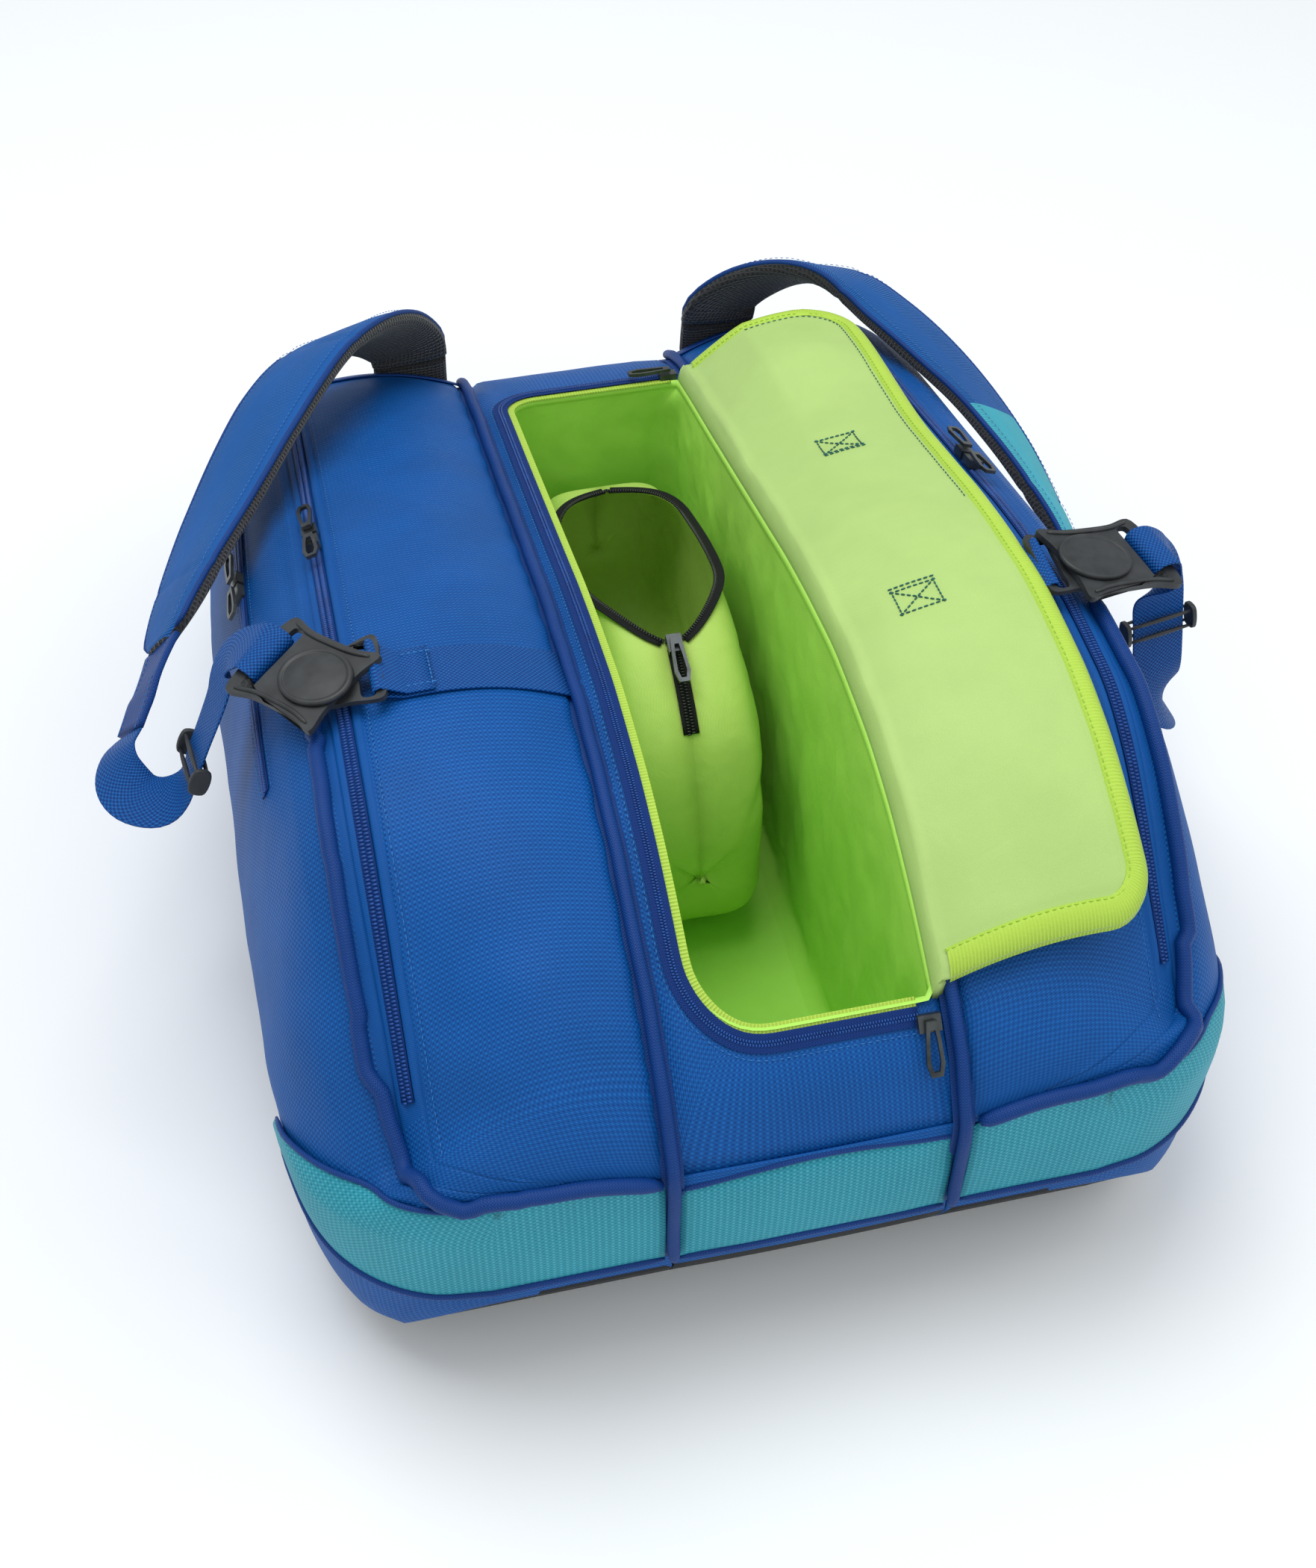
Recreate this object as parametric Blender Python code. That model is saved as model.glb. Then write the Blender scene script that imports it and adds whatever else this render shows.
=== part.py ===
# Racket tournament bag lying on its base, with the centre lid folded open over the right compartment.
# X runs to the bag's right, Y from the near end to the far end, Z up. Metres.
import math

import bmesh
import bpy
import numpy as np
from mathutils import Vector
from mathutils.bvhtree import BVHTree

for old in list(bpy.data.objects):
    bpy.data.objects.remove(old, do_unlink=True)

# Driving sizes
TUB_HALF = 0.0785          # half width of the centre compartment
POD_INNER = 0.0795         # inner face of a racket compartment
ZIP_X = 0.2085             # centre line of each main zip
OPEN_LEFT, OPEN_RIGHT = -0.055, 0.070
OPEN_NEAR, OPEN_FAR = -0.343, 0.250
TUB_WALL = 0.007
BASE_T = 0.0026
LID_OUTER = 0.192          # free edge of the open lid
LID_T = 0.006
LID_FOLD_Y = -0.140        # line where the soft lid bends over the crest
LID_FOLD_GAP = 0.0116      # room on each side of that line for the bend
PIPE_R = 0.0034
RIM_R = 0.0045
WEB_T = 0.0016
BAG_NEAR, BAG_FAR = -0.388, 0.365

# Height of the valley seam along the bag
VALLEY = [(-0.388, 0.178), (-0.375, 0.201), (-0.362, 0.218), (-0.345, 0.232), (-0.32, 0.249),
          (-0.285, 0.268), (-0.245, 0.284), (-0.20, 0.293), (-0.15, 0.295), (-0.10, 0.289),
          (-0.04, 0.277), (0.0, 0.266),
          (0.26, 0.194), (0.30, 0.178), (0.33, 0.158), (0.352, 0.130), (0.365, 0.100)]
# Underside of the ends, lifted like a boat
KEEL = [(-0.388, 0.085), (-0.375, 0.058), (-0.36, 0.036), (-0.34, 0.018), (-0.31, 0.0065),
        (-0.285, 0.003),
        (0.27, 0.003), (0.30, 0.0065), (0.33, 0.022), (0.352, 0.048), (0.365, 0.07)]
# Widest half width along the bag, left and right
OUTLINE = [(-0.388, 0.170), (-0.384, 0.200), (-0.372, 0.226), (-0.353, 0.246), (-0.33, 0.259),
           (-0.30, 0.267), (-0.25, 0.272), (0.0, 0.276), (0.20, 0.270), (0.26, 0.262), (0.30, 0.250),
           (0.33, 0.232),
           (0.352, 0.205), (0.365, 0.170)]
STATIONS = [-0.388, -0.384, -0.375, -0.362, -0.345, -0.32, -0.30, -0.285, -0.265, -0.245, -0.2225,
            -0.20, -0.175, -0.15, -0.125, -0.10, -0.07, -0.04, 0.0, 0.065, 0.13, 0.195, 0.26, 0.28, 0.30,
            0.33, 0.352, 0.365]


def along(table, y):
    return float(np.interp(y, [row[0] for row in table], [row[1] for row in table]))


def smooth(t):
    t = min(max(t, 0.0), 1.0)
    return t * t * (3.0 - 2.0 * t)


def crown(u):
    """Share of a compartment top's swell, from the valley (0) to the shoulder (1)."""
    if u < 0.55:
        return 1.0 - ((0.55 - u) / 0.55) ** 2
    return 1.0 - 0.55 * ((u - 0.55) / 0.45) ** 2


def top(x, y):
    """Height of a racket compartment's top."""
    u = max((abs(x) - 0.079) / 0.143, 0.0)
    fall = 0.055 * u * u * smooth((-0.20 - y) / 0.16)
    shelf = 0.036 * u * u * smooth((-0.352 - y) / 0.036)
    return along(VALLEY, y) + 0.022 * crown(u) - fall + shelf


def outer(y, side):
    return along(OUTLINE, y) + (0.010 if side < 0 else -0.004)


def paint(obj, colour, roughness=0.8, metal=0.0):
    material = bpy.data.materials.new(obj.name)
    material.use_nodes = True
    shader = material.node_tree.nodes["Principled BSDF"]
    shader.inputs["Base Color"].default_value = (*colour, 1.0)
    shader.inputs["Roughness"].default_value = roughness
    shader.inputs["Metallic"].default_value = metal
    obj.data.materials.append(material)


def solid(name, verts, faces, colour, origin=(0, 0, 0), **finish):
    """One closed object, with its origin where it turns or slides."""
    mesh = bpy.data.meshes.new(name)
    base = Vector(origin)
    mesh.from_pydata([Vector(v) - base for v in verts], [], faces)
    bm = bmesh.new()
    bm.from_mesh(mesh)
    bmesh.ops.remove_doubles(bm, verts=bm.verts, dist=1e-7)
    bmesh.ops.recalc_face_normals(bm, faces=bm.faces)
    bm.to_mesh(mesh)
    bm.free()
    obj = bpy.data.objects.new(name, mesh)
    obj.location = base
    bpy.context.collection.objects.link(obj)
    paint(obj, colour, **finish)
    return obj


def loft(rings):
    """Skin through rings of equal length, capped at both ends."""
    count = len(rings[0])
    verts = [tuple(p) for ring in rings for p in ring]
    faces = []
    for i in range(len(rings) - 1):
        for j in range(count):
            k = (j + 1) % count
            faces.append((i * count + j, i * count + k, (i + 1) * count + k, (i + 1) * count + j))
    faces.append(tuple(range(count)))
    faces.append(tuple(range((len(rings) - 1) * count, len(rings) * count)))
    return verts, faces


def tube(path, radius, sides=8):
    points = [Vector(p) for p in path]
    rings, up = [], None
    for i, p in enumerate(points):
        ahead = points[min(i + 1, len(points) - 1)] - points[max(i - 1, 0)]
        ahead.normalize()
        if up is None:
            up = Vector((0.31, 0.17, 0.93))
        up = (up - ahead * up.dot(ahead)).normalized()
        side = ahead.cross(up)
        rings.append([p + (side * math.cos(a) + up * math.sin(a)) * radius
                      for a in [2 * math.pi * k / sides for k in range(sides)]])
    return loft(rings)


def ribbon(path, normals, width, thick, round_ends=0.0):
    """A flat band along path. Each normal points out of its outer face."""
    points = [Vector(p) for p in path]
    widths = width if isinstance(width, (list, tuple)) else [width] * len(points)
    rings = []
    for i, p in enumerate(points):
        ahead = (points[min(i + 1, len(points) - 1)] - points[max(i - 1, 0)]).normalized()
        n = Vector(normals[i])
        n = (n - ahead * n.dot(ahead)).normalized()
        side = ahead.cross(n)
        w, t = widths[i] / 2, thick / 2
        c = min(t * 0.9, w * 0.3) * round_ends
        if c > 0:
            rings.append([p + side * a + n * b for a, b in
                          [(-w + c, -t), (w - c, -t), (w, -t + c), (w, t - c), (w - c, t), (-w + c, t),
                           (-w, t - c), (-w, -t + c)]])
        else:
            rings.append([p + side * a + n * b for a, b in [(-w, -t), (w, -t), (w, t), (-w, t)]])
    return loft(rings)


def box(centre, size, axes=None):
    """A block with its size along three directions."""
    a, b, c = [Vector(v).normalized() for v in (axes or ((1, 0, 0), (0, 1, 0), (0, 0, 1)))]
    m = Vector(centre)
    x, y, z = [s / 2 for s in size]
    low = [m + a * i * x + b * j * y - c * z for i, j in [(-1, -1), (1, -1), (1, 1), (-1, 1)]]
    high = [m + a * i * x + b * j * y + c * z for i, j in [(-1, -1), (1, -1), (1, 1), (-1, 1)]]
    return loft([low, high])


def prism(outline, centre, axes, thick):
    """A flat plate: outline points along axes[0] and axes[1], thickness along axes[2]."""
    a, b, c = [Vector(v).normalized() for v in axes]
    m = Vector(centre)
    return loft([[m + a * u + b * v + c * s * thick / 2 for u, v in outline] for s in (-1, 1)])


def framed(outline, hole, centre, axes, thick):
    """A plate with one hole; outline and hole have the same number of points, going the same way round."""
    a, b, c = [Vector(v).normalized() for v in axes]
    m = Vector(centre)
    n = len(outline)
    verts = []
    for loop in (outline, hole):
        for s in (-1, 1):
            verts += [m + a * u + b * v + c * s * thick / 2 for u, v in loop]
    faces = []
    for i in range(n):
        k = (i + 1) % n
        faces += [(i, k, n + k, n + i), (2 * n + i, 3 * n + i, 3 * n + k, 2 * n + k),
                  (i, 2 * n + i, 2 * n + k, k), (n + i, n + k, 3 * n + k, 3 * n + i)]
    return verts, faces


def oval(rx, ry, count=16, start=0.0):
    return [(rx * math.cos(start + 2 * math.pi * i / count), ry * math.sin(start + 2 * math.pi * i / count))
            for i in range(count)]


def patch(xs, ys, height, gap, thick, drawn_in=None):
    """A thin closed sheet lying a gap above a surface. drawn_in(x, y) can move its points sideways."""
    place = drawn_in or (lambda x, y: x)
    low = [[(place(x, y), y, height(place(x, y), y) + gap) for y in ys] for x in xs]
    high = [[(place(x, y), y, height(place(x, y), y) + gap + thick) for y in ys] for x in xs]
    nx, ny = len(xs), len(ys)
    verts = [p for row in low for p in row] + [p for row in high for p in row]
    faces = []
    for i in range(nx - 1):
        for j in range(ny - 1):
            q = (i * ny + j, (i + 1) * ny + j, (i + 1) * ny + j + 1, i * ny + j + 1)
            faces.append(q)
            faces.append(tuple(nx * ny + k for k in reversed(q)))
    rim = [i * ny for i in range(nx)] + [(nx - 1) * ny + j for j in range(1, ny)]
    rim += [i * ny + ny - 1 for i in range(nx - 2, -1, -1)] + [j for j in range(ny - 2, 0, -1)]
    for a, b in zip(rim, rim[1:] + rim[:1]):
        faces.append((a, b, nx * ny + b, nx * ny + a))
    return verts, faces


def carve(obj, cutter_parts):
    """Takes cutters away from obj."""
    for index, (verts, faces) in enumerate(cutter_parts):
        cutter = solid(obj.name + "_cut" + str(index), verts, faces, (1, 0, 0))
        cutter.hide_render = True
        cutter.display_type = "WIRE"
        modifier = obj.modifiers.new("cut", "BOOLEAN")
        modifier.operation = "DIFFERENCE"
        modifier.solver = "EXACT"
        modifier.object = cutter
        bpy.context.view_layer.objects.active = obj
        bpy.ops.object.modifier_apply(modifier=modifier.name)
        bpy.data.objects.remove(cutter, do_unlink=True)


BLUE, NAVY, TURQUOISE = (0.01, 0.08, 0.42), (0.008, 0.03, 0.2), (0.05, 0.5, 0.62)
LIME, BLACK, STEEL, MESH = (0.45, 0.78, 0.12), (0.012, 0.012, 0.014), (0.25, 0.26, 0.28), (0.02, 0.02, 0.022)
SIDES = ((-1, "left"), (1, "right"))


# Racket compartments: padded bodies, zipped shut
def pod_ring(y, side):
    xo, zb = outer(y, side), along(KEEL, y)
    share = min(1.0, (xo - 0.030 - POD_INNER) / (0.215 - POD_INNER))
    pts = [(POD_INNER, zb), (POD_INNER, top(POD_INNER, y))]
    for x in (0.087, 0.096, 0.108, 0.122, 0.137, 0.152, 0.167, 0.182, 0.195, 0.2055, 0.215):
        x = POD_INNER + (x - POD_INNER) * share
        pts.append((x, top(x, y)))
    xz, zz = pts[-1]
    wide, tall = xo - xz, zz - 0.155
    for fx, fz in ((0.24, 0.05), (0.45, 0.16), (0.66, 0.36), (0.84, 0.62), (0.96, 0.86), (1.0, 1.0)):
        pts.append((xz + wide * fx, zz - tall * fz))
    for dx, z in ((0.0, 0.086), (0.004, 0.055), (0.018, 0.022), (0.042, 0.004)):
        pts.append((xo - dx, max(z, zb + (0.0005 if dx < 0.04 else 0.0))))
    return [(side * x, y, z) for x, z in pts]


for side, word in SIDES:
    rings = [pod_ring(y, side) for y in STATIONS]
    solid(word + "_compartment", *loft(rings), BLUE)


# Centre compartment: an open tub with a flange round its mouth
def tub_ring(y):
    zb, zt = along(KEEL, y), along(VALLEY, y)
    return [(-TUB_HALF, y, zb), (TUB_HALF, y, zb), (TUB_HALF, y, zt), (-TUB_HALF, y, zt)]


tub = solid("centre_compartment", *loft([tub_ring(y) for y in STATIONS if -0.386 <= y or y == BAG_NEAR]),
            BLUE)
inner = TUB_HALF - TUB_WALL
hollow_y = [y for y in STATIONS if -0.30 <= y <= 0.26]
deep = [[(-inner, y, 0.010), (inner, y, 0.010), (inner, y, along(VALLEY, y) - 0.010),
         (-inner, y, along(VALLEY, y) - 0.010)] for y in hollow_y]
deep = [[(x, -0.350, max(0.035, z)) for x, z in ((-inner, 0), (inner, 0), (inner, 0.205),
                                                 (-inner, 0.205))]] + \
       [[(x, -0.330, max(0.022, z)) for x, z in ((-inner, 0), (inner, 0), (inner, 0.228),
                                                 (-inner, 0.228))]] + deep
mouth = loft([[(x, y, z) for x, y in ((OPEN_LEFT, OPEN_NEAR + 0.016), (OPEN_LEFT + 0.005, OPEN_NEAR + 0.005),
                                      (OPEN_LEFT + 0.016, OPEN_NEAR), (OPEN_RIGHT, OPEN_NEAR),
                                      (OPEN_RIGHT, OPEN_FAR), (OPEN_LEFT, OPEN_FAR))] for z in (0.15, 0.35)])
carve(tub, [loft(deep), mouth])

# Base panel that the bag rests on
solid("base_panel", *loft([[(x, y, z) for x, y in ((-0.228, -0.255), (-0.20, -0.282), (0.20, -0.282),
                                                   (0.222, -0.255),
                                                   (0.222, 0.24), (0.20, 0.265), (-0.20, 0.265),
                                                   (-0.228, 0.24))]
                          for z in (0.0, BASE_T)]), BLACK)


# Turquoise end panels wrap the near end, leaning in with the side above its widest line
PANEL_TOP = [(-0.388, 0.176), (-0.384, 0.178), (-0.372, 0.182), (-0.353, 0.180), (-0.33, 0.173),
             (-0.30, 0.158),
             (-0.28, 0.145)]
PANEL_FOOT = [(-0.388, 0.100), (-0.353, 0.104), (-0.33, 0.110), (-0.28, 0.128)]


def side_x(y, side, z):
    """How far out a compartment's side is at height z."""
    rim = pod_ring(y, side)[12:19]
    return float(np.interp(-z, [-p[2] for p in rim], [abs(p[0]) for p in rim]))


def end_panel(side):
    ys = [y for y in STATIONS if y <= -0.285]
    path = [Vector((side * 0.0868, BAG_NEAR)), Vector((side * 0.13, BAG_NEAR))]
    path += [Vector((side * outer(y, side), y)) for y in ys]
    rings = []
    for i, p in enumerate(path):
        ahead = (path[min(i + 1, len(path) - 1)] - path[max(i - 1, 0)]).normalized()
        normal = Vector((ahead.y, -ahead.x)) * side
        height, foot = along(PANEL_TOP, p.y), along(PANEL_FOOT, p.y)
        middle = min(0.155, height - 0.006)
        near, far = p + normal * 0.0014, p + normal * 0.0034
        leaning = []
        for z in (foot, middle, 0.5 * (middle + height), height):
            inset = outer(p.y, side) - side_x(p.y, side, z) if i > 2 and z > middle else 0.0
            leaning.append((side * inset * 0.8, z))
        rings.append([(far.x - dx, far.y, z) for dx, z in leaning]
                     + [(near.x - dx, near.y, z) for dx, z in reversed(leaning)])
    return loft(rings)


for side, word in SIDES:
    solid(word + "_end_panel", *end_panel(side), TURQUOISE)
solid("centre_end_panel", *box((0, BAG_NEAR - 0.0018, 0.1370), (0.149, 0.0022, 0.074)), TURQUOISE)


# Piping in the valleys, down over the near end
def lifted(table, gap):
    pts = [Vector((y, z)) for y, z in table]
    out = []
    for i, p in enumerate(pts):
        ahead = (pts[min(i + 1, len(pts) - 1)] - pts[max(i - 1, 0)]).normalized()
        out.append(p + Vector((-ahead.y, ahead.x)) * gap)
    return out


for side, word in SIDES:
    seam = lifted([(BAG_NEAR, 0.090), (BAG_NEAR, 0.12)] + VALLEY[:-2], PIPE_R + 0.0022)
    path = [(side * 0.0805, p.x, p.y) for p in seam]
    solid(word + "_valley_piping", *tube(path, PIPE_R, 7), NAVY)

# Thick rim piping along each compartment's near top edge, round its corner and up beside its zip
for side, word in SIDES:
    shape = BVHTree.FromPolygons(*loft([pod_ring(y, side) for y in STATIONS]))
    rough = [Vector((side * x, BAG_NEAR - 0.004, top(x, BAG_NEAR) - 0.004)) for x in (0.0915, 0.11, 0.13,
                                                                                      0.148)]
    rough += [Vector(pod_ring(y, side)[12]) + Vector((side * 0.002, -0.004, 0.004)) for y in (-0.384,
                                                                                              -0.375)]
    for y in (-0.362, -0.345, -0.32, -0.30, -0.285, -0.265, -0.245, -0.2225, -0.20):
        rough.append(Vector(pod_ring(y, side)[12]).lerp(Vector(pod_ring(y, side)[13]),
                                                        0.5) + Vector((0, 0, 0.004)))
    path = []
    for a, b in zip(rough, rough[1:] + rough[-1:]):
        for p in ((a,) if a == b else (a, a.lerp(b, 0.5))):
            touch = shape.find_nearest(p)[0]
            path.append(touch + (p - touch).normalized() * (RIM_R + 0.0034))
    solid(word + "_rim_piping", *tube(path, RIM_R, 7), BLUE)

# Coil zips
zip_ys = [y for y in STATIONS if -0.33 < y < 0.31]
for side, word in SIDES:
    xs = sorted(side * x for x in (ZIP_X - 0.0055, ZIP_X, ZIP_X + 0.0055))
    solid(word + "_main_zip", *patch(xs, zip_ys, top, 0.0008, 0.0014), NAVY)


def tub_top(x, y):
    return along(VALLEY, y)


for name, xs, ys in (
        ("centre_zip", [OPEN_LEFT - 0.012, OPEN_LEFT - 0.002], [y for y in STATIONS if -0.325 < y < 0.27]),
        ("near_edge_zip", [OPEN_LEFT + 0.018, OPEN_RIGHT + 0.001], [-0.357, -0.3462]),
        ("far_edge_zip", [OPEN_LEFT + 0.002, OPEN_RIGHT + 0.001], [0.2515, 0.2590])):
    solid(name, *patch(xs, ys, tub_top, 0.0005, 0.0014), NAVY)


def pocket_point(y, lift):
    """Where the side-pocket zip crosses the left side, and the way out of that side."""
    ring = pod_ring(y, -1)
    a, b = Vector(ring[14]), Vector(ring[15])
    way = (b - a).normalized()
    out = Vector((way.z, 0, -way.x))
    if out.x > 0:
        out = -out
    return a * 0.35 + b * 0.65 + out * lift, way, out


rows = []
for y in [y for y in STATIONS if -0.15 <= y <= 0.20]:
    p, way, out = pocket_point(y, 0.0012)
    rows.append([p - way * 0.005, p + way * 0.005, p + way * 0.005 + out * 0.0014,
                 p - way * 0.005 + out * 0.0014])
solid("side_pocket_zip", *loft(rows), NAVY)

# Where the strap buckles sit
BUCKLE_Y = -0.127
BUCKLE_X = {-1: 0.2195, 1: 0.2278}

# Webbing anchors across the compartment tops
for side, word in SIDES:
    near, far = -0.150, -0.104
    ys = [near, -0.1375, -0.125, -0.1145, far]
    reach = BUCKLE_X[side] - 0.0380
    xs = sorted(side * x for x in (0.0875, 0.096, 0.108, 0.122, 0.137, 0.152, 0.167, reach))
    solid(word + "_anchor_webbing", *patch(xs, ys, top, 0.0009, WEB_T), BLUE)

# Pivoting strap buckles. The inner half is on the anchor webbing, the outer half on the strap


def buckle_axes(side):
    slope = math.radians(13.0)
    across = Vector((side * math.cos(slope), 0, -math.sin(slope)))
    return across, Vector((0, 1, 0)), across.cross(Vector((0, 1, 0))) * side


def turned(side, across, beside):
    """The outer half has swung towards the far end about the pivot."""
    swing = math.radians(50.0 if side < 0 else 12.0)
    c, s = math.cos(swing), math.sin(swing)
    return across * c + beside * s, beside * c - across * s


buckle_centre = {}
for side, word in SIDES:
    across, beside, out = buckle_axes(side)
    centre = Vector((side * BUCKLE_X[side], BUCKLE_Y, top(0.205, BUCKLE_Y) + 0.0125))
    buckle_centre[side] = centre
    # Inner half: a low plate with a slot for the anchor loop and a boss for the pivot
    outline = [(-0.0345, -0.024), (-0.016, -0.021), (0.004, -0.016), (0.016, 0.0), (0.004, 0.016),
               (-0.016, 0.021),
               (-0.0345, 0.024), (-0.0345, 0.0)]
    hole = [(-0.0300, -0.0205), (-0.0235, -0.0195), (-0.0235, -0.012), (-0.0235, 0.0), (-0.0235, 0.012),
            (-0.0235, 0.0195), (-0.0300, 0.0205), (-0.0300, 0.0)]
    plate = framed(outline, hole, centre - out * 0.0035, (across, beside, out), 0.0030)
    solid(word + "_buckle_inner", *plate, BLACK, roughness=0.4)
    # Outer half: a plate with the oval cover on top and claw-shaped wings, and a bar for the strap webbing
    along_strap, over_strap = turned(side, across, beside)
    wing = [(-0.022, -0.030), (0.0, -0.027), (0.024, -0.026), (0.044, -0.029), (0.048, -0.012),
            (0.048, 0.012),
            (0.044, 0.029), (0.024, 0.026), (0.0, 0.027), (-0.022, 0.030), (-0.019, 0.012), (-0.019, -0.012)]
    gap = [(0.0315, -0.0225), (0.034, -0.0225), (0.037, -0.0225), (0.0393, -0.0225), (0.0395, -0.010),
           (0.0395, 0.010), (0.0393, 0.0225), (0.037, 0.0225), (0.034, 0.0225), (0.0315, 0.0225),
           (0.0310, 0.010),
           (0.0310, -0.010)]
    outer_axes = (along_strap, over_strap, out)
    solid(word + "_buckle_outer", *framed(wing, gap, centre + out * 0.0002, outer_axes, 0.0036), BLACK,
          origin=centre, roughness=0.4)
    cover = prism(oval(0.0235, 0.0190), centre + out * 0.0039, outer_axes, 0.0030)
    solid(word + "_pivot_cover", *cover, BLACK, origin=centre, roughness=0.5)

# Shoulder straps. Each is sewn at the far end and clipped to the buckle
HINGE_Y, HINGE_Z = 0.3195, 0.1945
STRAP_T = 0.015
strap_path = {
    -1: [(-0.117, 0.3190, 0.1985), (-0.1190, 0.3150, 0.2130), (-0.1330, 0.3020, 0.2345),
         (-0.1560, 0.2790, 0.2530), (-0.1850, 0.2460, 0.2640), (-0.2100, 0.2080, 0.2650),
         (-0.2340, 0.1660, 0.2600), (-0.2565, 0.1220, 0.2540), (-0.2760, 0.0820, 0.2490),
         (-0.2935, 0.0420, 0.2455), (-0.3090, 0.0040, 0.2420), (-0.3215, -0.0270, 0.2385)],
    1: [(0.117, 0.3190, 0.1985), (0.1200, 0.3140, 0.2160), (0.1420, 0.3080, 0.2345),
        (0.1720, 0.2990, 0.2440), (0.2046, 0.2830, 0.2400), (0.2284, 0.2570, 0.2290),
        (0.2500, 0.2150, 0.2200), (0.2680, 0.1770, 0.2090), (0.2810, 0.1320, 0.1990),
        (0.2900, 0.0870, 0.1880), (0.2980, 0.0420, 0.1740), (0.3030, 0.0000, 0.1550)]}
strap_normal = {
    -1: [(-0.02, 0.95, 0.25), (-0.05, 0.92, 0.35), (-0.15, 0.80, 0.55), (-0.28, 0.55, 0.78),
         (-0.40, 0.25, 0.88), (-0.50, 0.02, 0.86), (-0.58, -0.08, 0.80), (-0.64, -0.10, 0.75),
         (-0.70, -0.10, 0.70), (-0.76, -0.10, 0.63), (-0.82, -0.10, 0.55), (-0.86, -0.10, 0.48)],
    1: [(0.02, 0.95, 0.25), (-0.10, 0.92, 0.36), (-0.12, 0.84, 0.52), (0.02, 0.66, 0.75),
        (0.22, 0.34, 0.91), (0.40, 0.14, 0.90), (0.52, 0.0, 0.85), (0.62, -0.05, 0.78),
        (0.70, -0.10, 0.70), (0.78, -0.12, 0.60), (0.84, -0.15, 0.50), (0.88, -0.15, 0.42)]}
strap_width = [0.058, 0.062, 0.066, 0.070, 0.072, 0.073, 0.073, 0.072, 0.070, 0.066, 0.060, 0.050]
for side, word in SIDES:
    solid(word + "_shoulder_strap", *ribbon(strap_path[side], strap_normal[side], strap_width, STRAP_T,
                                            0.9), BLUE,
          origin=(side * 0.117, HINGE_Y, HINGE_Z))

# Webbing from the buckle over the side, through the tri-glide and round to the strap's lower end
tail_path, tail_normal = {}, {}
for side, word in SIDES:
    across, beside, out = buckle_axes(side)
    across, beside = turned(side, across, beside)
    bar = buckle_centre[side] + across * 0.0436 + out * 0.0002
    loop = [bar + across * 0.005 - out * 0.0066, bar - across * 0.003 - out * 0.0066,
            bar - across * 0.0083 - out * 0.003, bar - across * 0.0083 + out * 0.003,
            bar - across * 0.003 + out * 0.0066, bar + across * 0.006 + out * 0.0062]
    loop_n = [-out, -out - across * 0.3, -across - out * 0.5, -across + out * 0.5, out - across * 0.3, out]
    if side < 0:
        rest = [(-0.2668, -0.0775, 0.3015), (-0.2775, -0.0880, 0.2812), (-0.2885, -0.0945, 0.2610),
                (-0.2968, -0.0990, 0.2455), (-0.3051, -0.1035, 0.2300), (-0.3190, -0.1040, 0.2215),
                (-0.3340, -0.0960, 0.2205), (-0.3425, -0.0810, 0.2250), (-0.3420, -0.0660, 0.2285),
                (-0.3340, -0.0520, 0.2285)]
        rest_n = [(-0.60, 0.1, 0.8), (-0.82, 0.0, 0.57), (-0.88, 0.0, 0.47), (-0.88, 0.0, 0.47),
                  (-0.88, 0.0, 0.47), (-0.40, -0.1, 0.9), (-0.25, -0.1, 0.95), (-0.5, -0.1, 0.85),
                  (-0.7, -0.1, 0.7), (-0.8, -0.1, 0.6)]
    else:
        rest = [(0.2860, -0.1130, 0.3000), (0.2890, -0.1050, 0.2780), (0.2905, -0.1025, 0.2560),
                (0.2922, -0.1060, 0.2385), (0.2939, -0.1095, 0.2210), (0.2960, -0.1130, 0.2020),
                (0.3010, -0.1130, 0.1820), (0.3095, -0.1060, 0.1640), (0.3170, -0.0920, 0.1520),
                (0.3190, -0.0740, 0.1450), (0.3140, -0.0560, 0.1420)]
        rest_n = [(0.55, -0.25, 0.80), (0.45, -0.72, 0.50), (0.10, -0.97, 0.20), (0.10, -0.97, 0.20),
                  (0.10, -0.97, 0.20), (0.15, -0.93, 0.30), (0.35, -0.75, 0.50), (0.60, -0.40, 0.65),
                  (0.70, -0.20, 0.60), (0.80, -0.15, 0.50), (0.85, -0.15, 0.45)]
    tail_path[side] = [tuple(p) for p in loop] + rest
    tail_normal[side] = [tuple(n) for n in loop_n] + rest_n
    solid(word + "_strap_webbing", *ribbon(tail_path[side], tail_normal[side], 0.036, WEB_T), BLUE,
          origin=(side * 0.117, HINGE_Y, HINGE_Z))
    # Tri-glide: two slots with the webbing through the open middle
    a, b = Vector(tail_path[side][8]), Vector(tail_path[side][10])
    way = (b - a).normalized()
    middle = (a + b) / 2
    face_out = Vector(tail_normal[side][9])
    face = (face_out - way * face_out.dot(way)).normalized()
    flat = way.cross(face)
    ring = [(-0.024, -0.0045), (0.024, -0.0045), (0.024, 0.0045), (-0.024, 0.0045)]
    slot = [(-0.0200, -0.0022), (0.0200, -0.0022), (0.0200, 0.0022), (-0.0200, 0.0022)]
    solid(word + "_triglide", *framed(ring, slot, middle, (flat, face, way), 0.014), BLACK,
          origin=middle, roughness=0.4)

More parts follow.
